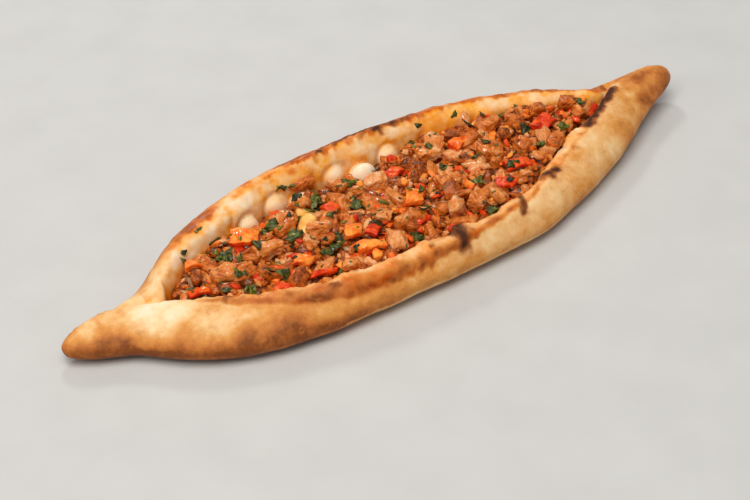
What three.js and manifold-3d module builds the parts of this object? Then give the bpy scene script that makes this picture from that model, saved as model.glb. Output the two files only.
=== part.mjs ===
// A Turkish pide: a long boat of baked dough whose rolled edges close into a tapered handle at
// each end, filled with a heap of diced meat, red pepper, tomato and chopped parsley.
// Millimetres, +Z up, +X along the boat. The boat rests on its flat underside at z = 0, and the
// origin is under the middle of its bounding box. -Y is the side whose edge laps over the other
// one where the boat closes.
import * as THREE from "three";
import { mergeVertices } from "three/addons/utils/BufferGeometryUtils.js";
import Module from "manifold-3d";

const wasm = await Module();
wasm.setup();

// ---- Driving dimensions ----
const LOW_TIP = -226; // where the two tips lie, from the middle of the hollow
const HIGH_TIP = 233;
const BASE_THICKNESS = 5; // dough under the filling
const LIP_DROP = 2.4; // how far the inside of a lip lies below its crest
const TIP_ROUNDING = { low: 18, high: 16 }; // length of the rounded end of each handle
const CREST_IN = 4; // from the inside of the -Y lip out to its crest
const CREST_OUT = 4.5; // the same at the +Y lip
const SOLE_ROUNDING = 8; // from an outer edge in to the flat underside
const CLEARANCE = 0.35; // least distance between two pieces
const BED_GAP = 1.2; // between the heap's hidden underside and the dough
const HEAP_HEIGHT = 4.5; // how far the middle of the heap stands above its edges
const STAND_OUT = 7; // how far the tall meat cubes stand out of the heap's bed
const LEAF_HEIGHT = 3.2; // how far the leaves lie above the heap's bed, on its small pieces
const LEAF_THICKNESS = 0.7;
const ROOTED = 0.2; // least share of a small piece that lies within the heap's bed

// Plan and height of the boat, as [x, millimetres] with x from the middle of the hollow: the two
// outer edges and the two inner lips in plan, the crest heights of the two walls, and how far
// the underside lifts off the table.
const NEAR_EDGE = [
  [-226, -10], [-208, -17], [-192, -25], [-174, -41.5], [-152, -56], [-122, -66], [-85, -70],
  [-20, -70.5], [60, -68], [92, -58.5], [128, -45.5], [165, -28], [196, -10.5], [233, 3],
];
const NEAR_LIP = [
  [-226, 5], [-196, 7], [-186, 5], [-166, -8], [-142, -21], [-110, -40], [-80, -50], [-35, -55],
  [20, -54], [58, -48], [92, -34], [125, -18], [152, -5], [172, 8], [182, 17], [233, 20],
];
const FAR_LIP = [
  [-226, 5.5], [-196, 7.5], [-186, 5.5], [-166, -6], [-154, 12], [-132, 29], [-100, 40], [-55, 49],
  [0, 52], [45, 52], [82, 47], [120, 35], [150, 23], [172, 12], [182, 17.5], [233, 20.5],
];
const FAR_EDGE = [
  [-226, 8], [-205, 7.5], [-190, 8], [-172, 18.5], [-154, 31], [-132, 44.5], [-100, 57], [-55, 66],
  [0, 67], [48, 66], [85, 60.5], [120, 50.5], [150, 38.5], [172, 27.5], [192, 24], [233, 24],
];
const NEAR_CREST = [
  [-226, 15.5], [-205, 18.5], [-185, 21], [-160, 24], [0, 23], [80, 24], [130, 26], [160, 27.5],
  [172, 27.5], [190, 25.5], [233, 24],
];
const FAR_CREST = [
  [-226, 14], [-196, 17], [-180, 18], [-160, 22], [-130, 25], [-80, 28], [0, 29], [80, 28],
  [130, 27], [165, 24], [182, 22.5], [233, 22],
];
const LIFT = [[-226, 2.5], [-205, 1.5], [-165, 0.4], [-140, 0], [135, 0], [170, 2.5], [200, 6], [233, 9]];
// Share of the full depth that the hollow has, and how clearly the lapped seam shows
const HOLLOW = [[-170, 0], [-164, 0.5], [-156, 1], [158, 1], [168, 0.6], [176, 0]];
const SEAM = [[-200, 0.15], [-188, 1], [182, 1], [196, 0.15]];
// A thin fold of dough that the -Y lip turns inwards
const LIP_FOLD = [[84, 0], [104, 1.8], [128, 2.6], [146, 1.4], [158, 0]];
// Height of the heap's bed against the two walls
const HEAP_NEAR = [[-150, 15], [-100, 16], [0, 16.5], [100, 17.5], [150, 19]];
const HEAP_FAR = [[-150, 12], [-100, 11.5], [0, 11.5], [50, 13.5], [100, 17], [150, 19]];
// The inside of the +Y wall is puffed up in pillows: where each ends, and how far it bulges
const PILLOWS = [
  [-160, 0], [-99, 2.2], [-69, 3.6], [-36, 2.6], [-8, 2], [26, 3], [48, 1.6], [84, 2.2], [116, 1.4],
  [150, 1.8], [170, 0],
];
// Smooth bubbles of dough at the foot of the +Y wall
const BUBBLES = [
  { at: [-86, 33, 10], radii: [8, 6, 8.5] },
  { at: [-63, 40, 11], radii: [9, 6, 9] },
  { at: [-46, 37, 10], radii: [8, 6, 8.5] },
  { at: [-17, 45, 11], radii: [9, 6, 9] },
  { at: [-1, 37, 12], radii: [10.5, 8, 9.5] },
  { at: [23, 44, 12], radii: [8, 7, 9] },
];

// Toppings: where each lies in plan, its size along, across and up, and its turn in degrees.
// `high` lifts one that leans on the wall instead of lying on the heap.
const MEAT = [
  { at: [72, 3], size: [18, 16, 11], turn: -28 },
  { at: [-5, 17], size: [16, 12, 8], turn: -15 },
  { at: [-74, 16], size: [17, 16, 11], turn: 20 },
  { at: [-94, -2], size: [20, 11, 9], turn: -4 },
  { at: [32, -8], size: [17, 12, 9], turn: -22 },
  { at: [-126, -8], size: [16, 13, 10], turn: -25 },
  { at: [91, -6], size: [12, 12, 9], turn: 12 },
  { at: [34, -34], size: [12, 12, 10], turn: 35 },
  { at: [86, 23], size: [17, 11, 8], turn: 8 },
  { at: [141, 12], size: [12, 10, 9], turn: -30 },
  { at: [109, -16], size: [14, 10, 8], turn: 30 },
  { at: [38, 21], size: [16, 11, 8], turn: -12 },
  { at: [-60, -3], size: [16, 9, 8], turn: -30 },
  { at: [-24, 27], size: [13, 10, 7], turn: 20 },
  { at: [121, 17], size: [13, 9, 8], turn: -5 },
  { at: [-16, -27], size: [12, 10, 8], turn: 14 },
  { at: [-62, -41], size: [11, 8, 7], turn: -18 },
  { at: [-42, 41], size: [20, 6, 5], turn: 2, high: 21.5 },
];
const PEPPER = [
  { at: [-100, 14], size: [17, 13, 5], turn: -32 },
  { at: [-42, 9], size: [10, 9, 4.5], turn: 10 },
  { at: [-45, -17], size: [11, 10, 5], turn: -15 },
  { at: [-34, -23], size: [10, 9, 4.5], turn: 35 },
  { at: [-43, -34], size: [18, 9, 5], turn: -18 },
  { at: [-78, -38], size: [20, 5, 3.6], turn: -8 },
  { at: [-84, -24], size: [11, 9, 5], turn: -38 },
  { at: [-103, -36], size: [11, 7, 4.5], turn: -28 },
  { at: [11, 20], size: [13, 10, 4.5], turn: 8 },
  { at: [58, 18], size: [11, 10, 6], turn: 18 },
  { at: [116, 4], size: [16, 11, 4.5], turn: 24 },
  { at: [76, -20], size: [17, 10, 4], turn: -20 },
  { at: [58, -30], size: [14, 9, 4], turn: -42 },
  { at: [4, -11], size: [12, 12, 6], turn: -30 },
  { at: [-5, -31], size: [12, 8, 4.5], turn: 12 },
  { at: [-136, 9], size: [12, 7, 4.5], turn: -10 },
  { at: [-145, -12], size: [12, 6, 4], turn: -35 },
];
const PARSLEY = [
  { at: [-47, 23], size: [14, 10], turn: 30 },
  { at: [-118, 8], size: [16, 11], turn: 5 },
  { at: [-98, -24], size: [14, 13], turn: -60 },
  { at: [-28, 3], size: [16, 9], turn: -36 },
  { at: [-54, -13], size: [10, 9], turn: 20 },
  { at: [-66, -24], size: [10, 8], turn: 0 },
  { at: [-120, -25], size: [10, 8], turn: -30 },
  { at: [-15, -41], size: [10, 9], turn: 15 },
  { at: [37, -44], size: [10, 7], turn: 60 },
  { at: [46, -18], size: [11, 8], turn: -30 },
  { at: [38, 4], size: [10, 9], turn: 70 },
  { at: [123, -6], size: [10, 7], turn: -15 },
  { at: [101, -11], size: [11, 7], turn: -10 },
  { at: [146, 4], size: [9, 6], turn: 30 },
];
// Small pieces of the heap, largest first: how many, and how big across
const CRUMBS = [
  { count: 48, size: 13 },
  { count: 36, size: 10 },
  { count: 22, size: 7.5 },
];

// ---- Small helpers ----
function randomFrom(seed) {
  let state = seed;
  return () => {
    state = (state + 0x6d2b79f5) | 0;
    let t = Math.imul(state ^ (state >>> 15), 1 | state);
    t = (t + Math.imul(t ^ (t >>> 7), 61 | t)) ^ t;
    return ((t ^ (t >>> 14)) >>> 0) / 4294967296;
  };
}

// A smooth curve through [x, value] points that never swings past them
function curve(points) {
  const slopes = points.slice(1).map(([x, v], i) => (v - points[i][1]) / (x - points[i][0]));
  const tangents = points.map((_, i) => {
    const [before, after] = [slopes[i - 1] ?? 0, slopes[i] ?? 0];
    return before * after > 0 ? (2 * before * after) / (before + after) : 0;
  });
  return (x) => {
    const place = THREE.MathUtils.clamp(x, points[0][0], points.at(-1)[0]);
    const i = Math.max(0, points.findIndex((p) => p[0] >= place) - 1);
    const [[x0, v0], [x1, v1]] = [points[i], points[i + 1]];
    const width = x1 - x0;
    const t = (place - x0) / width;
    const rise = (3 - 2 * t) * t * t;
    return v0 + (v1 - v0) * rise + width * t * (1 - t) * (tangents[i] * (1 - t) - tangents[i + 1] * t);
  };
}

const nearEdge = curve(NEAR_EDGE);
const nearLip = curve(NEAR_LIP);
const farLip = curve(FAR_LIP);
const farEdge = curve(FAR_EDGE);
const nearCrest = curve(NEAR_CREST);
const farCrest = curve(FAR_CREST);
const liftLine = curve(LIFT);
const hollowLine = curve(HOLLOW);
const seamLine = curve(SEAM);
const foldLine = curve(LIP_FOLD);
const heapNear = curve(HEAP_NEAR);
const heapFar = curve(HEAP_FAR);
const within = THREE.MathUtils.clamp;

function toManifold(positions, triangles) {
  const mesh = new wasm.Mesh({
    numProp: 3,
    vertProperties: new Float32Array(positions.flat()),
    triVerts: new Uint32Array(triangles.flat()),
  });
  return new wasm.Manifold(mesh);
}

// Drops the scraps that a cut leaves behind
function largestBody(solid) {
  return solid.decompose().reduce((best, body) => (body.volume() > best.volume() ? body : best));
}

// A closed skin over rings of equal length, with a flat fan on each end
function loft(rings) {
  const count = rings[0].length;
  const positions = rings.flat();
  const triangles = [];
  for (let i = 0; i + 1 < rings.length; i++) {
    for (let j = 0; j < count; j++) {
      const k = (j + 1) % count;
      const a = i * count + j;
      const b = i * count + k;
      triangles.push([a, b, b + count], [a, b + count, a + count]);
    }
  }
  const ends = [[rings[0], 0, true], [rings.at(-1), (rings.length - 1) * count, false]];
  for (const [ring, start, flip] of ends) {
    const middle = positions.length;
    positions.push([0, 1, 2].map((axis) => ring.reduce((sum, p) => sum + p[axis], 0) / count));
    for (let j = 0; j < count; j++) {
      const a = start + j;
      const b = start + ((j + 1) % count);
      triangles.push(flip ? [b, a, middle] : [a, b, middle]);
    }
  }
  return toManifold(positions, triangles);
}

// ---- Crust ----
// How far the inside of the +Y wall bulges at x: rounded pillows with narrow creases between
function pillow(x) {
  for (let i = 1; i < PILLOWS.length; i++) {
    const [start, end, bulge] = [PILLOWS[i - 1][0], PILLOWS[i][0], PILLOWS[i][1]];
    if (x >= start && x <= end) return bulge * Math.sin((Math.PI * (x - start)) / (end - start)) ** 0.7;
  }
  return 0;
}

// The outline round the boat at x: up the -Y wall, over its lip, across the hollow and the +Y
// wall, and back along the underside. Steps say how finely each stretch is divided, and the
// stretches from FIRST_INSIDE to LAST_INSIDE line the hollow.
const STRETCH_STEPS = [2, 2, 3, 3, 2, 2, 2, 2, 3, 3, 3, 3, 2, 2, 1, 1];
const FIRST_INSIDE = 4;
const LAST_INSIDE = 10;
const BELLY = 0.4; // share of a wall's height at which it is widest
const SHOULDER = 0.82; // share of its height at which it turns over to the crest

function sectionCurve(x) {
  const open = within(hollowLine(x), 0, 1);
  const base = liftLine(x);
  const puff = pillow(x) * open;
  const fold = foldLine(x);
  const wave = open * (0.7 * Math.sin(x / 6.1) + 0.5 * Math.sin(x / 3.7 + 1));
  const [outNear, outFar] = [nearEdge(x), farEdge(x)];
  const middle = (nearLip(x) + farLip(x)) / 2;
  const half = Math.max((farLip(x) - nearLip(x)) / 2, 2);
  const lipNear = middle - half + wave;
  const lipFar = middle + half;
  const topNear = nearCrest(x) + 0.5 * wave;
  const topFar = farCrest(x) + 0.3 * puff;
  const drop = LIP_DROP * within(seamLine(x), 0, 1);
  const rim = Math.min(topNear, topFar) - drop;
  const floor = rim + (base + BASE_THICKNESS - rim) * open;
  const foot = Math.min(SOLE_ROUNDING, 0.22 * (outFar - outNear));
  // Distances in from a lip, never past the given share of the way to the middle
  const inset = (distance, part) => Math.min(distance * open + part * half * (1 - open), part * half);
  const crestNear = lipNear - Math.min(CREST_IN, 0.2 * (lipNear - outNear));
  const crestFar = lipFar + Math.min(CREST_OUT, 0.3 * (outFar - lipFar));
  const points = [
    [outNear + foot, base],
    [outNear, base + BELLY * (topNear - base)],
    [outNear + BELLY * (crestNear - outNear), base + SHOULDER * (topNear - base)],
    [crestNear, topNear],
    [lipNear + fold + inset(0.4, 0.2), topNear - drop + 0.3 * fold],
    [lipNear + fold + inset(2.5, 0.45), (topNear - drop + floor) / 2 - open],
    [lipNear + inset(6, 0.75), floor + open],
    [middle, floor],
    [lipFar - inset(9 + 0.6 * puff, 0.75), floor + open],
    [lipFar - inset(4.5 + puff, 0.5), (topFar - drop + floor) / 2 - open],
    [lipFar - inset(0.4 + 0.5 * puff, 0.2), topFar - drop],
    [crestFar, topFar],
    [outFar - BELLY * (outFar - crestFar), base + SHOULDER * (topFar - base)],
    [outFar, base + BELLY * (topFar - base)],
    [outFar - foot, base],
    [(outNear + outFar) / 2, base],
  ];
  const knots = points.map(([y, z]) => new THREE.Vector3(x, y, z));
  const line = new THREE.CatmullRomCurve3(knots, true, "centripetal");
  return (stretch) => {
    const p = line.getPoint(stretch / points.length);
    return [x, p.y, Math.max(p.z, base)];
  };
}

// Near a tip the section shrinks about its middle to close the rounded end
function tipShrink(x) {
  const fromTips = Math.min((x - LOW_TIP) / TIP_ROUNDING.low, (HIGH_TIP - x) / TIP_ROUNDING.high);
  const depth = within(fromTips, 0, 1);
  return Math.sqrt(1 - (1 - depth) ** 2);
}

function crustRing(x) {
  const at = sectionCurve(x);
  const size = tipShrink(x);
  const centre = [(nearEdge(x) + farEdge(x)) / 2, liftLine(x) + 0.45 * (nearCrest(x) - liftLine(x))];
  const ring = [];
  STRETCH_STEPS.forEach((steps, stretch) => {
    for (let i = 0; i < steps; i++) {
      const [, y, z] = at(stretch + i / steps);
      ring.push([x, centre[0] + (y - centre[0]) * size, centre[1] + (z - centre[1]) * size]);
    }
  });
  return ring.reverse();
}

// Stations along the boat: cosine steps in the tips, and short steps where the hollow ends
function stations() {
  const tipSteps = 5;
  const tipDepth = (i) => 1 - Math.cos(((Math.PI / 2) * i) / tipSteps);
  const lowEnd = LOW_TIP + TIP_ROUNDING.low;
  const highEnd = HIGH_TIP - TIP_ROUNDING.high;
  const list = [];
  for (let i = 1; i <= tipSteps; i++) list.push(LOW_TIP + TIP_ROUNDING.low * tipDepth(i));
  const runs = [[lowEnd, -176, 5], [-176, -148, 7], [-148, 148, 32], [148, 180, 7], [180, highEnd, 4]];
  for (const [from, to, steps] of runs) {
    for (let i = 1; i <= steps; i++) list.push(from + ((to - from) * i) / steps);
  }
  for (let i = tipSteps - 1; i >= 1; i--) list.push(HIGH_TIP - TIP_ROUNDING.high * tipDepth(i));
  return list;
}

function ellipsoid({ at, radii }, extra) {
  const rows = 5;
  const columns = 8;
  const positions = [[at[0], at[1], at[2] + radii[2] + extra]];
  for (let i = 1; i < rows; i++) {
    const tilt = (Math.PI * i) / rows;
    for (let j = 0; j < columns; j++) {
      const turn = (2 * Math.PI * (j + (i % 2) / 2)) / columns;
      const direction = [Math.sin(tilt) * Math.cos(turn), Math.sin(tilt) * Math.sin(turn), Math.cos(tilt)];
      positions.push(at.map((c, axis) => c + (radii[axis] + extra) * direction[axis]));
    }
  }
  positions.push([at[0], at[1], at[2] - radii[2] - extra]);
  const last = positions.length - 1;
  const triangles = [];
  for (let j = 0; j < columns; j++) {
    const k = (j + 1) % columns;
    triangles.push([0, 1 + j, 1 + k], [last, last - columns + k, last - columns + j]);
    for (let i = 0; i + 2 < rows; i++) {
      const upper = 1 + i * columns;
      const lower = upper + columns;
      const [a, b, c, d] = [upper + j, upper + k, lower + j, lower + k];
      triangles.push(i % 2 ? [a, c, b] : [a, c, d], i % 2 ? [b, c, d] : [a, d, b]);
    }
  }
  return toManifold(positions, triangles);
}

const places = stations();
let crust = loft(places.map(crustRing));
for (const bubble of BUBBLES) crust = crust.add(ellipsoid(bubble, 0));

// ---- Heap ----
function bump(x, y) {
  return 0.8 * Math.sin(x / 7.3 + y / 11) + 0.7 * Math.sin(y / 6.1 - x / 17 + 2);
}

function heapTop(x, y) {
  const across = within((y - nearLip(x)) / (farLip(x) - nearLip(x)), 0, 1);
  const swell = 4 * across * (1 - across);
  return heapNear(x) * (1 - across) + heapFar(x) * across + (HEAP_HEIGHT + bump(x, y)) * swell;
}

// The lining of the hollow at x, moved inwards by the bed gap, as [y, z] points
function bed(x) {
  const at = sectionCurve(x);
  const fine = 12; // points a stretch
  const points = [];
  for (let i = FIRST_INSIDE * fine; i <= LAST_INSIDE * fine; i++) {
    const before = at((i - 0.5) / fine);
    const after = at((i + 0.5) / fine);
    const [dy, dz] = [after[1] - before[1], after[2] - before[2]];
    const size = Math.hypot(dy, dz);
    const here = at(i / fine);
    points.push([here[1] - (BED_GAP * dz) / size, here[2] + (BED_GAP * dy) / size]);
  }
  return points;
}

const BED_STEPS = 4;
const TOP_STEPS = 4;

// The heap's outline at x: along the bed to where it meets the heap's top, and back over that
function heapRing(x) {
  const points = bed(x);
  const below = points.filter(([y, z]) => z < heapTop(x, y));
  const ring = [];
  for (let i = 0; i <= BED_STEPS; i++) {
    const [y, z] = below[Math.round(((below.length - 1) * i) / BED_STEPS)];
    ring.push([x, y, z]);
  }
  const [start, end] = [below.at(-1), below[0]];
  for (let i = 1; i < TOP_STEPS; i++) {
    const y = start[0] + ((end[0] - start[0]) * i) / TOP_STEPS;
    ring.push([x, y, heapTop(x, y)]);
  }
  return ring;
}

const heapPlaces = places.filter((x) => hollowLine(x) > 0.97);
let core = loft(heapPlaces.map(heapRing));
for (const bubble of BUBBLES) core = core.subtract(ellipsoid(bubble, BED_GAP));
core = largestBody(core);

// ---- Toppings ----
function placed(solid, turn, [tiltX, tiltY], [x, y, z]) {
  return solid.rotate([tiltX, tiltY, 0]).rotate([0, 0, turn]).translate([x, y, z]);
}

// The closed solid of a box geometry with each corner moved by a rule
function solidOf(geometry, move) {
  geometry.deleteAttribute("normal");
  geometry.deleteAttribute("uv");
  const merged = mergeVertices(geometry);
  const positions = [];
  for (let i = 0; i < merged.attributes.position.count; i++) {
    positions.push(move(new THREE.Vector3().fromBufferAttribute(merged.attributes.position, i)));
  }
  return toManifold(positions, Array.from(merged.index.array));
}

// A cube with uneven faces, its corners drawn in; two steps an edge make it rounder
function diced([length, width, height], random, steps) {
  const uneven = () => 1 + 0.2 * (random() - 0.5);
  return solidOf(new THREE.BoxGeometry(1, 1, 1, steps, steps, steps), (p) => {
    const reach = p.length() / Math.max(Math.abs(p.x), Math.abs(p.y), Math.abs(p.z));
    p.multiplyScalar(1 / reach ** 0.42);
    return [p.x * length * uneven(), p.y * width * uneven(), p.z * height * uneven()];
  });
}

// A flat piece of pepper skin and flesh, bent along its length
function plate([length, width, height], random) {
  const bend = 0.22 + 0.14 * random();
  const skew = 0.5 * (random() - 0.5);
  const taper = 0.35 * random();
  return solidOf(new THREE.BoxGeometry(1, 1, 1, 3, 2, 1), ({ x: u, y: v, z: w }) => {
    const uneven = 1 + 0.08 * (random() - 0.5);
    const arch = height * (bend * (1 - 4 * u * u) + 0.1 * (1 - 4 * v * v));
    return [
      (u + skew * v) * length * uneven,
      v * width * (1 - taper * (u + 0.5)) * uneven,
      w * 0.72 * height + arch,
    ];
  });
}

// A lobed leaf, wavy and thin; both faces have the same triangles
function leaf([length, width], random) {
  const around = 12;
  const lobes = 3 + Math.floor(2 * random());
  const turn = 6 * random();
  const wave = (a, r) => r * (1.3 * Math.sin(2 * a + turn) + 0.8 * Math.sin(3 * a + 2 * turn)) - 1.6 * r * r;
  const face = (side) => {
    const list = [[0, 0, (side * LEAF_THICKNESS) / 2]];
    for (const r of [0.5, 1]) {
      for (let i = 0; i < around; i++) {
        const a = (2 * Math.PI * i) / around;
        const reach = r * (1 - r * 0.28 * (0.5 + 0.5 * Math.cos(lobes * a + turn)));
        list.push([
          0.5 * length * reach * Math.cos(a),
          0.5 * width * reach * Math.sin(a),
          wave(a, r) + (side * LEAF_THICKNESS) / 2,
        ]);
      }
    }
    return list;
  };
  const top = face(1);
  const positions = [...top, ...face(-1)];
  const triangles = [];
  const both = (a, b, c) => triangles.push([a, b, c], [a + top.length, c + top.length, b + top.length]);
  for (let i = 0; i < around; i++) {
    const k = (i + 1) % around;
    const [a, b, c, d] = [1 + i, 1 + k, 1 + around + i, 1 + around + k];
    both(0, a, b);
    both(a, c, d);
    both(a, d, b);
    triangles.push([c, c + top.length, d + top.length], [c, d + top.length, d]);
  }
  return toManifold(positions, triangles);
}

function blockSolid(low, wide) {
  const geometry = new THREE.BoxGeometry(...wide);
  geometry.translate(...low.map((v, axis) => v + wide[axis] / 2));
  return solidOf(geometry, (p) => p.toArray());
}

const toppings = [];

function clearOf(solid, others) {
  return others.every((other) => solid.minGap(other, 2 * CLEARANCE) >= CLEARANCE);
}

// Lays a piece at a spot in plan: raises it in small steps until it is clear of the dough, of
// what lies under it and of the toppings already laid, and makes it smaller when that would
// lift it too far
function settle(shape, { at, turn }, tilts, startHeight, highest, under) {
  const others = [crust, ...under, ...toppings.map((topping) => topping.solid)];
  for (const scale of [1, 0.92, 0.85, 0.78, 0.7, 0.62]) {
    for (let up = 0; up <= highest; up += 0.5) {
      const spot = [...at, startHeight + up];
      const solid = placed(shape(scale), turn, tilts, spot);
      if (clearOf(solid, others)) return { solid, scale, spot };
    }
  }
  throw new Error(`no room for the piece at ${at}`);
}

function layTopping(kind, number, solid) {
  toppings.push({ kind, name: `${kind}_${String(number + 1).padStart(2, "0")}`, solid });
}

function leaning(random, degrees) {
  return [degrees * (random() - 0.5), degrees * (random() - 0.5)];
}

// The height at which the lowest corner of a solid comes to lie on the heap's bed
function restHeight(solid, [x, y]) {
  const corners = solid.getMesh().vertProperties;
  let height = -Infinity;
  for (let i = 0; i < corners.length; i += 3) {
    height = Math.max(height, heapTop(x + corners[i], y + corners[i + 1]) - corners[i + 2]);
  }
  return height + CLEARANCE;
}

// Tall meat cubes sit in a pocket of the heap, low ones lie on it
MEAT.forEach((cube, i) => {
  const tilts = leaning(randomFrom(11 + i), 14);
  const shape = (scale) => diced(cube.size.map((s) => s * scale), randomFrom(100 + i), 2);
  const tall = cube.size[2] > STAND_OUT + 1;
  const flat = placed(shape(1), cube.turn, tilts, [0, 0, 0]);
  const sunk = heapTop(...cube.at) + STAND_OUT - cube.size[2] / 2;
  const height = cube.high ?? (tall ? sunk : restHeight(flat, cube.at));
  const { solid, scale, spot } = settle(shape, cube, tilts, height, 2, tall ? [] : [core]);
  layTopping("meat", i, solid);
  if (!tall) return;
  const box = shape(scale).boundingBox();
  const low = box.min.map((v) => v - CLEARANCE);
  const wide = box.max.map((v, axis) => v + CLEARANCE - low[axis]);
  core = core.subtract(placed(blockSolid(low, wide), cube.turn, tilts, spot));
});

PEPPER.forEach((piece, i) => {
  const tilts = leaning(randomFrom(31 + i), 16);
  const shape = (scale) => plate(piece.size.map((s) => s * scale), randomFrom(200 + i));
  const flat = placed(shape(1), piece.turn, tilts, [0, 0, 0]);
  layTopping("pepper", i, settle(shape, piece, tilts, restHeight(flat, piece.at) + 0.4, 4, [core]).solid);
});

PARSLEY.forEach((sprig, i) => {
  const tilts = leaning(randomFrom(51 + i), 24);
  const shape = (scale) => leaf(sprig.size.map((s) => s * scale), randomFrom(300 + i));
  const height = heapTop(...sprig.at) + LEAF_HEIGHT;
  layTopping("parsley", i, settle(shape, sprig, tilts, height, 5, [core]).solid);
});

// Small pieces of meat and vegetable, fused to the heap wherever they keep clear of the dough
// and of the toppings; one that doesn't fit is sunk deeper, or left out
function crumb(size, random) {
  const spread = () => size * (0.75 + 0.5 * random());
  return diced([spread(), spread(), spread() * 0.7], random, 1);
}

const crumbRandom = randomFrom(7);
// The bubbles keep the space in front of them free
const laid = BUBBLES.map(({ at, radii }) => ({ x: at[0], y: at[1] - 0.6 * radii[1], size: 2 * radii[0] }));
const others = [crust, ...toppings.map((topping) => topping.solid)];
const heapParts = [core];
const [heapStart, heapEnd] = [heapPlaces[0], heapPlaces.at(-1)];
for (const { count, size } of CRUMBS) {
  for (let n = 0, tries = 0; n < count && tries < 80 * count; tries++) {
    const x = heapStart + (heapEnd - heapStart) * crumbRandom();
    const y = nearLip(x) + (farLip(x) - nearLip(x)) * crumbRandom();
    if (laid.some((other) => Math.hypot(other.x - x, other.y - y) < 0.42 * (other.size + size))) continue;
    const tilts = leaning(crumbRandom, 40);
    const shape = crumb(size, crumbRandom);
    const turn = 360 * crumbRandom();
    for (const sink of [0, 1.2, 2.4, 3.6]) {
      const solid = placed(shape, turn, tilts, [x, y, heapTop(x, y) + 0.18 * size - sink]);
      const rooted = solid.intersect(core).volume() >= ROOTED * solid.volume();
      if (!rooted || !clearOf(solid, others)) continue;
      heapParts.push(solid);
      laid.push({ x, y, size });
      n++;
      break;
    }
  }
}
const filling = wasm.Manifold.union(heapParts);

// ---- Finished group ----
const FINISHES = {
  crust: { color: 0xe3bd85, roughness: 0.62 },
  filling: { color: 0x9c5a34, roughness: 0.4 },
  meat: { color: 0xa8704a, roughness: 0.42 },
  pepper: { color: 0xe0502a, roughness: 0.28 },
  parsley: { color: 0x35551f, roughness: 0.4 },
};

function meshOf(solid, name, finish, [shiftX, shiftY]) {
  const source = solid.getMesh();
  const geometry = new THREE.BufferGeometry();
  geometry.setAttribute("position", new THREE.BufferAttribute(source.vertProperties, 3));
  geometry.setIndex(new THREE.BufferAttribute(source.triVerts, 1));
  geometry.translate(-shiftX, -shiftY, 0);
  geometry.computeVertexNormals();
  const mesh = new THREE.Mesh(geometry, new THREE.MeshStandardMaterial({ ...FINISHES[finish], metalness: 0 }));
  mesh.name = name;
  mesh.material.name = finish;
  return mesh;
}

const outline = crust.boundingBox();
const shift = [0, 1].map((axis) => (outline.min[axis] + outline.max[axis]) / 2);
const pide = new THREE.Group();
pide.name = "turkish_pide";
pide.add(meshOf(crust, "crust", "crust", shift));
pide.add(meshOf(filling, "filling", "filling", shift));
for (const { name, kind, solid } of toppings) pide.add(meshOf(solid, name, kind, shift));
export default pide;
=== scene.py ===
"""Turkish pide: a baked boat of dough filled with diced meat, pepper and parsley, dressed for rendering.

Blender's lengths are in metres. Tables and shape functions are in millimetres, and MM turns them to metres.
The boat lies along x, with its near wall at negative y and its far wall at positive y.
"""

import logging
import math
import random
from collections.abc import Callable
from dataclasses import dataclass, field
from enum import Enum

import bmesh
import bpy
from mathutils import Matrix, Vector, noise
from mathutils.bvhtree import BVHTree


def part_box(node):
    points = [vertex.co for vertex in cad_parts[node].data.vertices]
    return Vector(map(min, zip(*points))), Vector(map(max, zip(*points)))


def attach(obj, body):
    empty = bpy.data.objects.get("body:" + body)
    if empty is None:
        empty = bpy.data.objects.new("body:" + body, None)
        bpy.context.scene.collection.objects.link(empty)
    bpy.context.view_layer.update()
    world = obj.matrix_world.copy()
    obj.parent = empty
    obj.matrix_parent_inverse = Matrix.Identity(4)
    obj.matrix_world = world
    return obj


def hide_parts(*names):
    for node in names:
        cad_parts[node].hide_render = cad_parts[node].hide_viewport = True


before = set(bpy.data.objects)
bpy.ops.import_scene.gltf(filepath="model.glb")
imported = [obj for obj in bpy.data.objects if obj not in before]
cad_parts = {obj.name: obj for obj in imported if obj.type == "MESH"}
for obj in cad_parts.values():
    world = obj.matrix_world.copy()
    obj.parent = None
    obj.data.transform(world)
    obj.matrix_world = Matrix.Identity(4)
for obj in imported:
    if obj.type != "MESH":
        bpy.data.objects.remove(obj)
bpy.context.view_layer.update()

MM = 0.001
log = logging.getLogger("turkish_pide")


# ---------------------------------------------------------------- small helpers


def linear(code: str) -> tuple[float, float, float, float]:
    """Turn an sRGB hex colour into a linear RGBA value.

    Args:
        code: six hex digits, without a hash sign.

    Returns:
        The linear colour with alpha 1.
    """
    parts = [int(code[i : i + 2], 16) / 255 for i in (0, 2, 4)]
    return (*[c / 12.92 if c <= 0.04045 else ((c + 0.055) / 1.055) ** 2.4 for c in parts], 1.0)


def clamp(value: float) -> float:
    """Keep a value between 0 and 1."""
    return max(0.0, min(1.0, value))


def smooth(low: float, high: float, value: float) -> float:
    """Rise smoothly from 0 at low to 1 at high; low may be the larger one."""
    t = clamp((value - low) / (high - low))
    return t * t * (3 - 2 * t)


def plateau(start: float, full: float, last: float, end: float, value: float) -> float:
    """Rise smoothly from 0 at start to 1 at full, hold it up to last and fall to 0 at end."""
    return smooth(start, full, value) * smooth(end, last, value)


def hump(distance: float, width: float) -> float:
    """Give a bell that is 1 at distance 0 and 0.37 at one width away."""
    return math.exp(-((distance / width) ** 2))


def along(table: tuple, x: float) -> float:
    """Read a table of (x, value) pairs at x, in straight lines between its entries.

    Args:
        table: the pairs, in order of x.
        x: where to read it.

    Returns:
        The value there, held constant past both ends.
    """
    if x <= table[0][0]:
        return table[0][1]
    for (x0, v0), (x1, v1) in zip(table, table[1:]):
        if x <= x1:
            return v0 + (v1 - v0) * (x - x0) / (x1 - x0)
    return table[-1][1]


def rough(point: Vector, pitch: float, octaves: int = 3) -> float:
    """Give fractal noise from about -1 to 1, with lumps about one pitch apart."""
    return noise.fractal(point / pitch, 1.0, 2.0, octaves)


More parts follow.
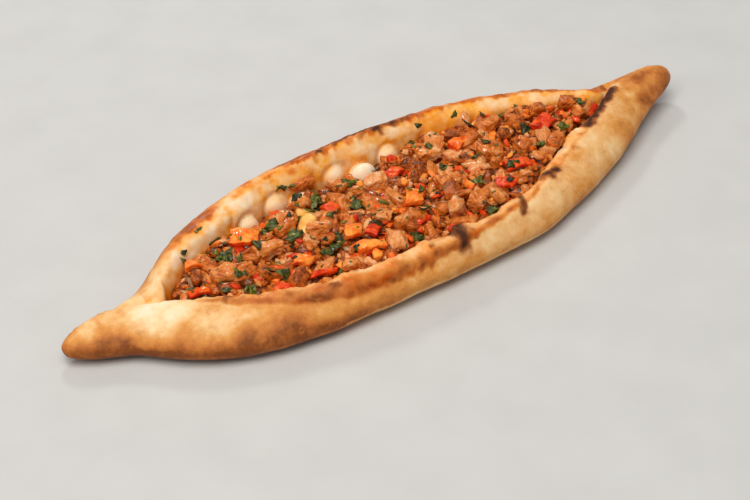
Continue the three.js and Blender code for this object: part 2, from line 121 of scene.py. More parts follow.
def new_object(name: str, mesh: bpy.types.Mesh) -> bpy.types.Object:
    """Link a mesh to the scene.

    Args:
        name: the object's and the mesh's name.
        mesh: the mesh, which is shaded smooth.

    Returns:
        The new object, at the origin.
    """
    mesh.name = name
    mesh.shade_smooth()
    made = bpy.data.objects.new(name, mesh)
    bpy.context.scene.collection.objects.link(made)
    return made


def mesh_of(bm: bmesh.types.BMesh, name: str) -> bpy.types.Mesh:
    """Turn a bmesh into a new mesh and free it.

    Args:
        bm: the bmesh.
        name: the mesh's name.

    Returns:
        The new mesh.
    """
    mesh = bpy.data.meshes.new(name)
    bm.to_mesh(mesh)
    bm.free()
    return mesh


def solid_copy(node: str) -> bmesh.types.BMesh:
    """Copy a CAD node's mesh with its loose triangles merged and paired into quads.

    Args:
        node: the CAD node's name.

    Returns:
        A bmesh of the closed solid.
    """
    bm = bmesh.new()
    bm.from_mesh(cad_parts[node].data)
    bmesh.ops.remove_doubles(bm, verts=bm.verts, dist=0.001 * MM)
    bmesh.ops.join_triangles(bm, faces=bm.faces, angle_face_threshold=0.7, angle_shape_threshold=0.9)
    for layer in list(bm.verts.layers.float_vector.values()):
        bm.verts.layers.float_vector.remove(layer)
    return bm


def evened(bm: bmesh.types.BMesh, name: str, voxel: float, rounds: int) -> bpy.types.Object:
    """Round a coarse solid and rebuild its skin from even faces.

    Args:
        bm: the closed solid, which is freed.
        name: the new piece's name.
        voxel: the new faces' size in metres.
        rounds: levels of subdivision that come first.

    Returns:
        The new object, with no modifiers left.
    """
    coarse = mesh_of(bm, name + "_coarse")
    made = new_object(name, coarse)
    if rounds:
        rounding = made.modifiers.new("rounding", "SUBSURF")
        rounding.levels = rounding.render_levels = rounds
    skin = made.modifiers.new("skin", "REMESH")
    skin.mode, skin.voxel_size, skin.use_smooth_shade = "VOXEL", voxel, True
    graph = bpy.context.evaluated_depsgraph_get()
    final = bpy.data.meshes.new_from_object(made.evaluated_get(graph))
    made.modifiers.clear()
    made.data = final
    final.name = name
    final.materials.clear()
    bpy.data.meshes.remove(coarse)
    return made


def relax(obj: bpy.types.Object, times: int, factor: float = 0.5) -> None:
    """Smooth an object's mesh.

    Args:
        obj: the object whose mesh changes.
        times: how many times.
        factor: how far each vertex goes towards its neighbours' middle.
    """
    bm = bmesh.new()
    bm.from_mesh(obj.data)
    every_axis = {"use_axis_x": True, "use_axis_y": True, "use_axis_z": True}
    for _ in range(times):
        bmesh.ops.smooth_vert(bm, verts=bm.verts, factor=factor, **every_axis)
    bm.to_mesh(obj.data)
    bm.free()


def reshape(obj: bpy.types.Object, move: Callable[[Vector, Vector], Vector]) -> None:
    """Move each vertex.

    Args:
        obj: the object whose mesh changes.
        move: a function of a vertex's place and normal that gives its move in metres.
    """
    places = [v.co + move(v.co, v.normal) for v in obj.data.vertices]
    for vertex, place in zip(obj.data.vertices, places):
        vertex.co = place
    obj.data.update()


def store(obj: bpy.types.Object, name: str, values: list[float]) -> None:
    """Store a number from 0 to 1 per vertex, for materials to read by name."""
    obj.data.attributes.new(name, "FLOAT", "POINT").data.foreach_set("value", values)


def paint(obj: bpy.types.Object, name: str, value: Callable[[Vector, Vector], float]) -> None:
    """Store what a function of each vertex's place and normal gives."""
    store(obj, name, [value(v.co, v.normal) for v in obj.data.vertices])


def finish_piece(
    obj: bpy.types.Object, material: bpy.types.Material, slot: str, *nodes: str
) -> bpy.types.Object:
    """Dress a piece, tie it to the one body and log it.

    Args:
        obj: the finished object.
        material: its material.
        slot: not used.
        nodes: the CAD nodes that it stands for.

    Returns:
        The same object.
    """
    obj.data.materials.clear()
    obj.data.materials.append(material)
    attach(obj, "root")
    if nodes:
        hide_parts(*nodes)
    log.info("%s: %d faces", obj.name, len(obj.data.polygons))
    return obj


# ---------------------------------------------------------------- finishes


class Tree:
    """A material's node tree, with the one function that adds a node."""

    def __init__(self, name: str) -> None:
        """Start a material from a plain Principled shader.

        Args:
            name: the material's name.
        """
        self.material = bpy.data.materials.new(name)
        self.material.use_nodes = True
        self.nodes = self.material.node_tree.nodes
        self.links = self.material.node_tree.links
        self.shader = self.nodes["Principled BSDF"]

    def put(self, node: bpy.types.Node, inputs: dict) -> None:
        """Set or link a node's inputs.

        Args:
            node: the node.
            inputs: values or sockets, by input name or number.
        """
        for key, value in inputs.items():
            if isinstance(value, bpy.types.NodeSocket):
                self.links.new(value, node.inputs[key])
            else:
                node.inputs[key].default_value = value

    def add(
        self, kind: str, inputs: dict, out: int | str = 0, stops: tuple = (), **settings: object
    ) -> bpy.types.NodeSocket:
        """Add a node with its settings and links.

        Args:
            kind: the node's type name, without "ShaderNode".
            inputs: values or sockets, by input name or number.
            out: which output to return.
            stops: (position, hex colour) pairs, where the node is a colour ramp.
            settings: properties of the node itself.

        Returns:
            The node's output socket.
        """
        made = self.nodes.new("ShaderNode" + kind)
        for name, value in settings.items():
            setattr(made, name, value)
        self.put(made, inputs)
        for number, (place, code) in enumerate(stops):
            band = made.color_ramp.elements
            stop = band[number] if number < len(band) else band.new(place)
            stop.position, stop.color = place, linear(code)
        return made.outputs[out]

    def scatter(self, weight: float, radius: tuple, scale: float) -> None:
        """Let light into the material, farther for red than for blue."""
        inputs = {"Subsurface Weight": weight, "Subsurface Radius": radius, "Subsurface Scale": scale}
        self.put(self.shader, inputs)

    def shade(
        self, tone: bpy.types.NodeSocket | float, patterns: tuple, less: float, stops: tuple
    ) -> bpy.types.NodeSocket:
        """Move a tone by patterns and read the colour it ends at.

        Args:
            tone: the tone before the patterns.
            patterns: (pattern, weight) pairs, each pattern about 0.5 on average.
            less: what comes off the sum, about half of all weights, so that patterns move it both ways.
            stops: (position, hex colour) pairs along the tone.

        Returns:
            The colour.
        """
        for pattern, weight in patterns:
            tone = self.add("Math", {0: pattern, 1: weight, 2: tone}, operation="MULTIPLY_ADD")
        tone = self.add("Math", {0: tone, 1: less}, operation="SUBTRACT", use_clamp=True)
        return self.add("ValToRGB", {0: tone}, stops=stops)


@dataclass(frozen=True)
class BakedDough:
    """Yeast bread dough, baked on stone: satin, pale where it rose, gold and char where heat caught it."""

    raw: str = "FBE8CC"
    cream: str = "F6D4A2"
    straw: str = "EEBB7E"
    gold: str = "DE964A"
    amber: str = "C07032"
    brown: str = "86471F"
    rust: str = "A65822"
    char: str = "3A1A12"
    oil: str = "FFBE3C"
    # The fat in the skin tints what shines
    gleam: str = "FFECCC"
    patch_pitch: float = 14 * MM
    # A cluster of freckles
    freckle_pitch: float = 7 * MM
    mottle_pitch: float = 3.2 * MM
    grit_pitch: float = 1.6 * MM
    # Real pores are a few tenths of a millimetre wide, too fine to show, so these are coarser
    pore_pitch: float = 0.9 * MM

    def build(self) -> bpy.types.Material:
        """Make the material from the painted browning with painted shade and light, and the char, oil and
        pale values.

        Returns:
            The new material.
        """
        t = Tree("baked_dough")
        place = t.add("TexCoord", {}, "Object")
        names = ("bake_and_shade", "char", "oil", "pale")
        bake_and_shade, scorch, wet, pale = (t.add("Attribute", {}, "Fac", attribute_name=name) for name in names)
        patch = t.add("TexNoise", {"Vector": place, "Scale": 1 / self.patch_pitch, "Detail": 3})
        mottle = t.add("TexNoise", {"Vector": place, "Scale": 1 / self.mottle_pitch, "Detail": 4})
        pore = t.add("TexNoise", {"Vector": place, "Scale": 1 / self.pore_pitch, "Detail": 2})
        # Blotches as wide as a finger, mottling and pores all move the tone a little
        stops = (
            (0.0, self.raw), (0.2, self.cream), (0.38, self.straw),
            (0.58, self.gold), (0.8, self.amber), (1.0, self.brown),
        )
        colour = t.shade(bake_and_shade, ((patch, 0.5), (mottle, 0.26), (pore, 0.12)), 0.44, stops)
        # Freckles, a millimetre or two wide, where the skin dried first
        ragged = {"Detail": 6, "Roughness": 0.7, "Distortion": 0.6}
        freckle = t.add("TexNoise", {"Vector": place, "Scale": 1 / self.freckle_pitch, **ragged})
        freckle = t.add("MapRange", {"Value": freckle, "From Min": 0.56, "From Max": 0.68, "To Max": 0.9})
        freckle = t.add("Math", {0: freckle, 1: bake_and_shade}, operation="MULTIPLY")
        colour = t.add("Mix", {0: freckle, 6: colour, 7: linear(self.amber)}, 2, data_type="RGBA")
        # Oil from the filling soaks into the crumb and turns it a deep yellow
        soak = t.add("Math", {0: mottle, 1: 0.9, 2: 0.45}, operation="MULTIPLY_ADD")
        soak = t.add("Math", {0: soak, 1: wet}, operation="MULTIPLY", use_clamp=True)
        stained = {"data_type": "RGBA", "blend_type": "MULTIPLY"}
        colour = t.add("Mix", {0: soak, 6: colour, 7: linear(self.oil)}, 2, **stained)
        # Scorched blisters are rust brown at the rim and ragged char inside
        rim = t.add("MapRange", {"Value": scorch, "From Min": 0.03, "From Max": 0.5, "To Max": 0.9})
        colour = t.add("Mix", {0: rim, 6: colour, 7: linear(self.rust)}, 2, data_type="RGBA")
        burnt = t.add("Math", {0: mottle, 1: 0.8, 2: scorch}, operation="MULTIPLY_ADD")
        burnt = t.add("MapRange", {"Value": burnt, "From Min": 0.75, "From Max": 1.35, "To Max": 0.95})
        colour = t.add("Mix", {0: burnt, 6: colour, 7: linear(self.char)}, 2, data_type="RGBA")
        shine = t.add("Math", {0: wet, 1: pale}, operation="ADD")
        gloss = t.add("MapRange", {"Value": shine, "To Min": 0.5, "To Max": 0.36})
        gloss = t.add("Math", {0: scorch, 1: 0.35, 2: gloss}, operation="MULTIPLY_ADD")
        relief = t.add("TexNoise", {"Vector": place, "Scale": 1 / self.grit_pitch, "Detail": 4})
        normal = t.add("Bump", {"Height": relief, "Distance": 0.35 * MM, "Strength": 0.35})
        normal = t.add("Bump", {"Height": pore, "Distance": 0.15 * MM, "Strength": 0.35, "Normal": normal})
        t.put(t.shader, {"Base Color": colour, "Roughness": gloss, "Normal": normal, "IOR": 1.45})
        t.put(t.shader, {"Specular IOR Level": 0.32, "Specular Tint": linear(self.gleam)})
        t.scatter(0.15, (1.0, 0.55, 0.25), 2 * MM)
        return t.material


@dataclass(frozen=True)
class StewedMeat:
    """Diced lamb, fried in tomato and oil: long fibres, wet and orange outside, darker in its hollows by
    painted shade.
    """

    name: str = "stewed_meat"
    dark: str = "50240A"
    brown: str = "BA5C1A"
    tan: str = "E28C3E"
    pale: str = "F4BE86"
    oil: str = "E8640A"
    # Oil stained by tomato tints what shines
    gleam: str = "FFC88C"
    # Real fibres are under half a millimetre wide; bundles of them are what shows
    fibre_pitch: float = 1.1 * MM
    crumb_pitch: float = 2 * MM
    blotch_pitch: float = 5 * MM

    def build(self) -> bpy.types.Material:
        """Make the material from each piece's own grain and tone values.

        Returns:
            The new material.
        """
        t = Tree(self.name)
        grain = t.add("Attribute", {}, "Vector", attribute_name="grain")
        tone = t.add("Attribute", {}, "Fac", attribute_name="tone")
        strands = t.add("VectorMath", {0: grain, 1: (0.2, 1.0, 1.0)}, operation="MULTIPLY")
        wavy = {"Detail": 3, "Distortion": 0.7}
        fibre = t.add("TexNoise", {"Vector": strands, "Scale": 1 / self.fibre_pitch, **wavy})
        blotch = t.add("TexNoise", {"Vector": grain, "Scale": 1 / self.blotch_pitch, "Detail": 3})
        crumb = t.add("TexNoise", {"Vector": grain, "Scale": 1 / self.crumb_pitch, "Detail": 4})
        stops = ((0.05, self.dark), (0.36, self.brown), (0.66, self.tan), (1.0, self.pale))
        colour = t.shade(tone, ((fibre, 0.85), (blotch, 1.0), (crumb, 0.35)), 1.1, stops)
        soaked = t.add("MapRange", {"Value": crumb, "From Min": 0.36, "From Max": 0.7, "To Max": 0.6})
        colour = t.add("Mix", {0: soaked, 6: colour, 7: linear(self.oil)}, 2, data_type="RGBA")
        normal = t.add("Bump", {"Height": fibre, "Distance": 1.1 * MM, "Strength": 0.9})
        normal = t.add("Bump", {"Height": crumb, "Distance": 1.2 * MM, "Strength": 0.8, "Normal": normal})
        t.put(t.shader, {"Base Color": colour, "Roughness": 0.42, "Normal": normal, "IOR": 1.4})
        t.put(t.shader, {"Specular IOR Level": 0.5, "Specular Tint": linear(self.gleam)})
        t.put(t.shader, {"Coat Weight": 0.3, "Coat Roughness": 0.1})
        t.scatter(0.06, (1.0, 0.4, 0.2), 1 * MM)
        return t.material


@dataclass(frozen=True)
class RoastedPepper:
    """Sweet pepper and tomato, softened in oil: clear red skin, orange flesh, wet all over."""

    flesh: str = "FCA040"
    orange: str = "F26C1A"
    red: str = "DE3A0E"
    deep: str = "AC1E06"
    # What shines is tinted by the red oil
    gleam: str = "FFA060"
    mottle_pitch: float = 3.5 * MM
    # The skin's fine wrinkles
    wrinkle_pitch: float = 1.5 * MM

    def build(self) -> bpy.types.Material:
        """Make the material from each piece's ripe value, 0 for orange flesh and 1 for red skin.

        Returns:
            The new material.
        """
        t = Tree("roasted_pepper")
        grain = t.add("Attribute", {}, "Vector", attribute_name="grain")
        ripe = t.add("Attribute", {}, "Fac", attribute_name="ripe")
        mottle = t.add("TexNoise", {"Vector": grain, "Scale": 1 / self.mottle_pitch, "Detail": 3})
        wrinkle = t.add("TexNoise", {"Vector": grain, "Scale": 1 / self.wrinkle_pitch, "Detail": 2})
        stops = ((0.0, self.flesh), (0.35, self.orange), (0.7, self.red), (1.0, self.deep))
        colour = t.shade(ripe, ((mottle, 0.7), (wrinkle, 0.25)), 0.475, stops)
        normal = t.add("Bump", {"Height": mottle, "Distance": 1.0 * MM, "Strength": 0.7})
        fine = {"Distance": 0.5 * MM, "Strength": 0.6, "Normal": normal}
        normal = t.add("Bump", {"Height": wrinkle, **fine})
        t.put(t.shader, {"Base Color": colour, "Roughness": 0.45, "Normal": normal, "IOR": 1.36})
        t.put(t.shader, {"Specular IOR Level": 0.4, "Specular Tint": linear(self.gleam)})
        t.put(t.shader, {"Coat Weight": 0.26, "Coat Roughness": 0.08})
        t.scatter(0.18, (1.0, 0.25, 0.08), 1.6 * MM)
        return t.material


@dataclass(frozen=True)
class WiltedParsley:
    """Flat parsley, wilted in the oven: dark, limp and shiny, with brighter ribs."""

    shade: str = "1C1A06"
    leaf: str = "4A5014"
    bright: str = "8C8C2E"
    rib_pitch: float = 1.6 * MM

    def build(self) -> bpy.types.Material:
        """Make the material from each leaf's own grain and tone values.

        Returns:
            The new material.
        """
        t = Tree("wilted_parsley")
        grain = t.add("Attribute", {}, "Vector", attribute_name="grain")
        tone = t.add("Attribute", {}, "Fac", attribute_name="tone")
        along_rib = t.add("VectorMath", {0: grain, 1: (0.35, 1.0, 1.0)}, operation="MULTIPLY")
        rib = t.add("TexNoise", {"Vector": along_rib, "Scale": 1 / self.rib_pitch, "Detail": 3})
        stops = ((0.1, self.shade), (0.5, self.leaf), (1.0, self.bright))
        colour = t.shade(tone, ((rib, 1.9),), 0.95, stops)
        normal = t.add("Bump", {"Height": rib, "Distance": 0.9 * MM, "Strength": 0.9})
        t.put(t.shader, {"Base Color": colour, "Roughness": 0.45, "Normal": normal, "IOR": 1.4})
        t.put(t.shader, {"Specular IOR Level": 0.25, "Coat Weight": 0.28, "Coat Roughness": 0.14})
        t.scatter(0.05, (0.6, 1.0, 0.1), 0.6 * MM)
        return t.material


@dataclass(frozen=True)
class ChoppedMince:
    """The bed under the dice: chopped meat, onion and tomato, fried soft, dark and oily between lumps; its
    dark stands partly for painted shade between the pieces.
    """

    dark: str = "2E1205"
    brown: str = "74340E"
    tan: str = "B06A2A"
    oil: str = "BC560E"
    dough: str = "FFC060"
    lump_pitch: float = 5 * MM
    bit_pitch: float = 1.7 * MM

    def build(self) -> bpy.types.Material:
        """Make the material from the painted dough patch and the surface's own relief.

        Returns:
            The new material.
        """
        t = Tree("chopped_mince")
        place = t.add("TexCoord", {}, "Object")
        bare = t.add("Attribute", {}, "Fac", attribute_name="dough")
        uneven = {"Vector": place, "Detail": 4}
        lump = t.add("TexNoise", {"Scale": 1 / self.lump_pitch, "Distortion": 0.8, **uneven})
        bit = t.add("TexNoise", {"Scale": 1 / self.bit_pitch, "Distortion": 0.5, **uneven})
        stops = ((0.2, self.dark), (0.45, self.brown), (0.62, self.oil), (0.85, self.tan))
        colour = t.shade(0.0, ((lump, 1.2), (bit, 1.0)), 0.6, stops)
        colour = t.add("Mix", {0: bare, 6: colour, 7: linear(self.dough)}, 2, data_type="RGBA")
        normal = t.add("Bump", {"Height": bit, "Distance": 0.9 * MM, "Strength": 0.7})
        t.put(t.shader, {"Base Color": colour, "Roughness": 0.42, "Normal": normal, "IOR": 1.4})
        t.put(t.shader, {"Specular IOR Level": 0.4, "Coat Weight": 0.4, "Coat Roughness": 0.15})
        t.scatter(0.1, (1.0, 0.4, 0.2), 1.2 * MM)
        return t.material


@dataclass(frozen=True)
class StewedOnion:
    """Onion and mushroom slivers, fried soft: glassy, pale pink to dark brown."""

    dark: str = "3E2418"
    brown: str = "94603C"
    pale: str = "E2BC94"
    streak_pitch: float = 0.9 * MM

    def build(self) -> bpy.types.Material:
        """Make the material from each sliver's own grain and tone values.

        Returns:
            The new material.
        """
        t = Tree("stewed_onion")
        grain = t.add("Attribute", {}, "Vector", attribute_name="grain")
        tone = t.add("Attribute", {}, "Fac", attribute_name="tone")
        lengthwise = t.add("VectorMath", {0: grain, 1: (0.2, 1.0, 1.0)}, operation="MULTIPLY")
        streak = t.add("TexNoise", {"Vector": lengthwise, "Scale": 1 / self.streak_pitch, "Detail": 2})
        stops = ((0.0, self.dark), (0.5, self.brown), (1.0, self.pale))
        colour = t.shade(tone, ((streak, 0.6),), 0.3, stops)
        normal = t.add("Bump", {"Height": streak, "Distance": 0.3 * MM, "Strength": 0.5})
        t.put(t.shader, {"Base Color": colour, "Roughness": 0.3, "Normal": normal, "IOR": 1.4})
        t.put(t.shader, {"Coat Weight": 0.35, "Coat Roughness": 0.12})
        t.scatter(0.25, (1.0, 0.6, 0.35), 1.5 * MM)
        return t.material


# ---------------------------------------------------------------- the bread


@dataclass
class Crust:
    """The boat of dough: the CAD crust rounded, given a dough's own unevenness and painted as it baked,
    with painted shade and painted light laid into the same tone.
    """

    voxel: float = 1.25 * MM
    # The tone of dough that neither browned nor stayed raw, and the tone past which it browns more slowly
    plain_tone: float = 0.27
    slow_tone: float = 0.62
    # How far the walls reach along x, both ways
    wall_end: float = 176
    # The heights over which the near rim and either crest begin, and below which nothing is scorched
    rim_band: tuple = (15, 19)
    crest_band: tuple = (14, 20)
    clean_below: float = 14
    # Stretches along x: where each starts, is full, is last full and ends
    boat: tuple = (-182, -150, 165, 185)
    # The near lip's crease, and its seam where oil from the filling soaks in
    creased: tuple = (-156, -140, 60, 72)
    soaked: tuple = (-156, -138, 130, 150)
    # The far wall's oiled crest, its middle, its hot part and the cooler one beside it, and its dark seam
    oiled: tuple = (-160, -142, 160, 178)
    middle: tuple = (-75, -45, 50, 75)
    hot: tuple = (-152, -138, -114, -104)
    cool: tuple = (-110, -100, -56, -44)
    seam: tuple = (40, 62, 145, 162)
    # The line along the top of each wall: x, y
    near_crest: tuple = (
        (-190, 5), (-169, -10), (-145, -23), (-113, -42), (-83, -52), (-38, -57), (16, -56), (54, -50),
        (88, -36), (121, -20), (148, -7), (168, 6), (190, 13), (230, 15),
    )
    far_crest: tuple = (
        (-190, 8), (-169, 0), (-157, 18), (-135, 35), (-103, 46), (-58, 55), (-3, 58), (41, 58), (78, 53),
        (116, 41), (146, 29), (168, 18), (190, 18), (230, 18),
    )
    # The crease under the near wall's folded lip: how far from the crest it runs, along x
    near_fold: tuple = (
        (-160, -2.0), (-143, -4.0), (-126, -6.0), (-107, -8.0), (-90, -7.4), (-73, -8.6), (-53, -7.2),
        (-33, -6.0), (-10, -4.8), (14, -3.4), (30, -2.6), (60, -1.8), (70, -0.6),
    )
    # How toasted the lip is over that crease, along x, with painted shade along the crease itself
    near_toast_and_shade: tuple = (
        (-158, 0.0), (-148, 0.3), (-116, 0.38), (-90, 0.46), (-57, 0.5), (14, 0.5), (50, 0.42), (64, 0.32),
        (74, 0.1), (190, 0.02),
    )
    # How golden the near wall's outer face is, along x: browning, and partly painted shade where it is
    # darkest
    near_gold_and_shade: tuple = (
        (-200, 0.0), (-176, 0.11), (-150, 0.15), (-138, 0.22), (-124, 0.36), (-104, 0.38), (-70, 0.35),
        (-50, 0.3), (-30, 0.22), (10, 0.13), (30, 0.13), (60, 0.12), (120, 0.13), (180, 0.12), (200, 0.06),
    )
    # How much less the near lip's free edge browned than the wall, along x
    near_edge: tuple = (
        (-150, 0.3), (-140, 0.16), (-128, 0.06), (-95, 0.04), (-57, 0.06), (-36, -0.02), (-16, -0.1),
        (60, -0.1), (74, 0.02), (126, 0.06), (136, 0.02), (170, 0.04),
    )
    # How far the near rim stands up and leans in past its solid, along x
    near_rise: tuple = (
        (-150, 0.0), (-124, 0.8), (-93, 2.0), (-57, 2.6), (-16, 2.6), (30, 2.2), (60, 1.2), (94, 0.5),
        (140, 0.0),
    )
    near_lean: tuple = (
        (-155, 0.0), (-124, 1.4), (-93, 3.2), (-57, 3.4), (-16, 5.0), (8, 5.0), (30, 3.2), (62, 2.4),
        (118, 3.4), (134, 0.6), (150, 0.0),
    )
    # The height of the underside, along x
    under: tuple = ((-190, -1.7), (-175, 0), (130, 0), (170, 2), (200, 7), (214, 10), (228, 16))
    # How far the far wall's pillows swell inward past the solid, along x
    far_swell: tuple = (
        (-158, 0.0), (-148, 2.0), (-126, 4.0), (-104, 4.0), (-86, 1.5), (24, 1.0), (48, 2.0), (80, 3.0),
        (130, 3.0), (150, 1.5), (164, 0.0),
    )
    # Where the far wall meets the filling, by height
    far_foot: tuple = ((-165, 16), (-100, 14), (0, 14), (50, 16), (100, 20), (160, 22))
    # Scorched blisters: x, y, radius and how deep the char is
    char_spots: tuple = (
        (-140, -27, 4, 0.6), (-132, -31, 3, 0.3), (-85, -52, 4, 0.7), (-6, -50, 4, 0.4),
        (-21, -55.5, 2, 0.5), (8, -55.5, 2.4, 0.5), (-110, -44.5, 3, 0.4), (-69, -48.5, 3, 0.3),
        (80, -38.5, 5.5, 0.95), (86, -37, 4.5, 0.9), (112, -26, 3, 0.3), (-26, 56, 2.8, 1.0),
        (-31, 52, 2.6, 0.25), (-47, 57, 3, 0.45), (-22, 58.5, 3, 0.6), (-13, 58.5, 3, 0.6),
        (7, 57.5, 3.2, 0.9), (5, 54.5, 3, 0.35), (17, 56.5, 4, 1.0), (19, 54.5, 3, 0.5), (24, 58.5, 3, 0.7),
        (31, 57, 3.8, 0.95), (37, 56, 3, 0.6), (50, 54, 2.6, 0.25), (62, 56, 2.6, 0.35), (72, 53, 2.4, 0.3),
        (104, 46, 3, 0.35), (130, 37, 4.5, 0.55), (138, 33.5, 3.5, 0.45), (198, 13, 4, 0.5),
        (193.5, -2.5, 3, 0.3), (-112, 46, 3, 0.35), (-126, 41, 3.5, 0.4), (-131, 35, 3, 0.4),
        (-137, 32, 3, 0.3),
    )
    # Scorched streaks: from x, y to x, y, half their width and how deep the char is
    char_streaks: tuple = (
        (4, -43.5, -0.5, -60, 5.2, 1.0), (53, -45, 47, -57, 3.2, 0.8), (134, -12, 173, 10.5, 4.4, 1.0),
        (-16, 60, 36, 60.5, 2.6, 0.8), (-58, 57.5, -36, 59, 2, 0.45),
    )
    # Browner patches: x, y, radius and strength
    brown_spots: tuple = (
        (-141, -51, 8, 0.3), (-116, -56, 8, 0.18), (-170, -31, 7, 0.16), (-203, -9, 10, 0.14),
        (-130, 36, 9, 0.34), (-118, 44, 10, 0.26), (199, 13, 8, 0.3), (194, -3, 8, 0.3), (205, -2, 9, 0.2),
        (221, 5, 10, 0.3), (-112, -40, 10, 0.15), (-88, -54, 12, 0.18), (110, -30, 9, 0.15),
        (-49, 50, 3, 0.4), (100, -52, 14, 0.12), (160, -15, 14, 0.1), (158, -23, 10, 0.22),
        (44, 57, 8, 0.3), (142, 31, 9, 0.2),
    )
    # Paler stretches, partly where the dough rose away from the stone and partly painted highlights on the
    # left end's upper faces and tip
    pale_and_highlight_spots: tuple = (
        (-155, -41, 14, 0.14), (-184, -22, 12, 0.14), (-98, -64, 12, 0.2), (-178, -8, 10, 0.2),
        (-168, -20, 9, 0.14), (-128, -45, 12, 0.1), (-225, 3, 8, 0.12), (-162, 8, 10, 0.14),
        (-150, 22, 9, 0.12),
    )
    # Bubbles at the far wall's foot: x, y, z, radius across and up, and how pale they stayed
    bubbles: tuple = (
        (-89.5, 34.7, 10, 8, 9, 0.75), (-66.5, 41.7, 11, 9, 9, 0.3), (-49.5, 38.7, 10, 8, 9, 0.6),
        (-20.5, 46.7, 11, 9, 9, 0.25), (-4.5, 38.7, 12, 10.5, 10, 1.0), (19.5, 45.7, 12, 8, 9, 0.5),
    )
    # Yellow oil stains on the inside of the far wall: x, y, radius, strength
    stains: tuple = (
        (-118, 37, 10, 1.0), (-127, 33, 9, 0.9), (-43, 50, 8, 0.6), (-100, 40, 7, 0.6), (-75, 44, 7, 0.6),
        (47, 50, 16, 0.95), (30, 52, 12, 0.8), (75, 46, 16, 0.8), (131, 27, 12, 0.8), (-22, 52, 9, 0.5),
    )
    # Creases between the pillows of the far wall, by x
    creases: tuple = (-163, -102, -72, -39, -11, 22, 45, 80, 112, 146)
    # Where the near lip laps over onto the filling and browned in freckles: from x, to x
    lap: tuple = (60, 132)

    def spots(self, table: tuple, place: Vector) -> float:
        """Look up the strongest of a table's spots at a place; they are longer along the boat.

        Args:
            table: rows of x, y, radius and strength.
            place: the place in millimetres.

        Returns:
            The strength there, or 0 outside every spot.
        """
        best = 0.0
        for x, y, radius, depth in table:
            away = math.hypot(0.75 * (place.x - x), 1.15 * (place.y - y))
            if away < 2 * radius:
                best = max(best, depth * (1 - smooth(0.25 * radius, 1.25 * radius, away)))
        return best

    def bubble(self, place: Vector, reach: float = 1.14, toned: bool = True) -> float:
        """Tell how far a place belongs to a bubble.

        Args:
            place: the place in millimetres.
            reach: where the bubble ends, in its radii.
            toned: whether a bubble that browned counts for less.

        Returns:
            0 outside every bubble, 1 on one.
        """
        best = 0.0
        for x, y, z, r, up, share in self.bubbles:
            away = math.hypot((place.x - x) / r, (place.y - y) / (0.78 * r), (place.z - z) / up)
            best = max(best, (share if toned else 1.0) * (1 - smooth(0.95, reach, away)))
        return best

    def inside_far(self, place: Vector, normal: Vector) -> float:
        """Tell how far a place belongs to the inner face of the far wall.

        Args:
            place: the place in millimetres.
            normal: which way the crust faces there.

        Returns:
            0 off that face, 1 on it.
        """
        crest = along(self.far_crest, place.x)
        if place.y < (along(self.near_crest, place.x) + crest) / 2 or abs(place.x) > self.wall_end:
            return 0.0
        return smooth(2.5, -2.0, place.y - crest) * smooth(0.45, -0.1, normal.y)

    def crease(self, place: Vector) -> float:
        """Tell how near a place is to a crease between the far wall's pillows.

        Args:
            place: the place in millimetres.

        Returns:
            0 far from every crease and on a bubble, 1 in one.
        """
        if any(math.hypot(place.x - x, place.y - y) < 1.25 * r for x, y, _, r, _, _ in self.bubbles):
            return 0.0
        x = place.x + 2.6 * math.sin(place.z / 5) + 2 * rough(place, 9, 2)
        return max(hump(x - c, 3.0) for c in self.creases) * smooth(27, 20, place.z)

    def folded(self, place: Vector) -> float:
        """Tell how far above the crease under the near wall's folded lip a place lies, in millimetres."""
        near = place.y - along(self.near_crest, place.x)
        return near + 1.3 * rough(place, 7, 3) - along(self.near_fold, place.x)

    def toast_and_shade(self, place: Vector) -> float:
        """Tell how toasted the near lip is: most just over its crease, where the dark band is partly
        painted shade of the crease.

        Args:
            place: the place in millimetres.

        Returns:
            0 where it isn't, up to about 0.5.
        """
        above = self.folded(place)
        lip = smooth(-1.2, 0.6, above) * (1 - 0.9 * smooth(0.6, 5.6, above))
        return along(self.near_toast_and_shade, place.x) * lip * smooth(*self.rim_band, place.z)

    def near_bake_and_shade(self, p: Vector, near: float, quick: float) -> float:
        """Tell how much more the near wall browned than plain dough, with painted shade along the lip's
        crease and on the outer face.

        Args:
            p: the place in millimetres.
            near: how far inward of the near crest it lies.
            quick: noise with lumps 9 mm apart.

        Returns:
            What to add to the tone.
        """
        edge = near + 1.6 * rough(p, 7, 3)
        value = self.toast_and_shade(p) * (0.95 + 0.5 * quick) + along(self.near_gold_and_shade, p.x) * smooth(4, -2, edge)
        free = smooth(2.4, 4.0, edge) * smooth(13, 17, p.z) * plateau(*self.boat, p.x)
        value -= along(self.near_edge, p.x) * free
        if self.lap[0] < p.x < self.lap[1]:
            freckles = 0.04 + 0.3 * max(0.0, rough(p, 6, 3))
            value += freckles * smooth(-2.5, 0.5, edge) * smooth(*self.rim_band, p.z)
        return value

    def far_bake_and_shade(self, p: Vector, far: float, quick: float, inner: float) -> float:
        """Tell how much more the far wall browned than plain dough, with painted shade in the creases
        between its pillows and painted light that keeps its inner face paler.

        Args:
            p: the place in millimetres.
            far: how far outward of the far crest it lies.
            quick: noise with lumps 9 mm apart.
            inner: how far it belongs to the inner face.

        Returns:
            What to add to the tone.
        """
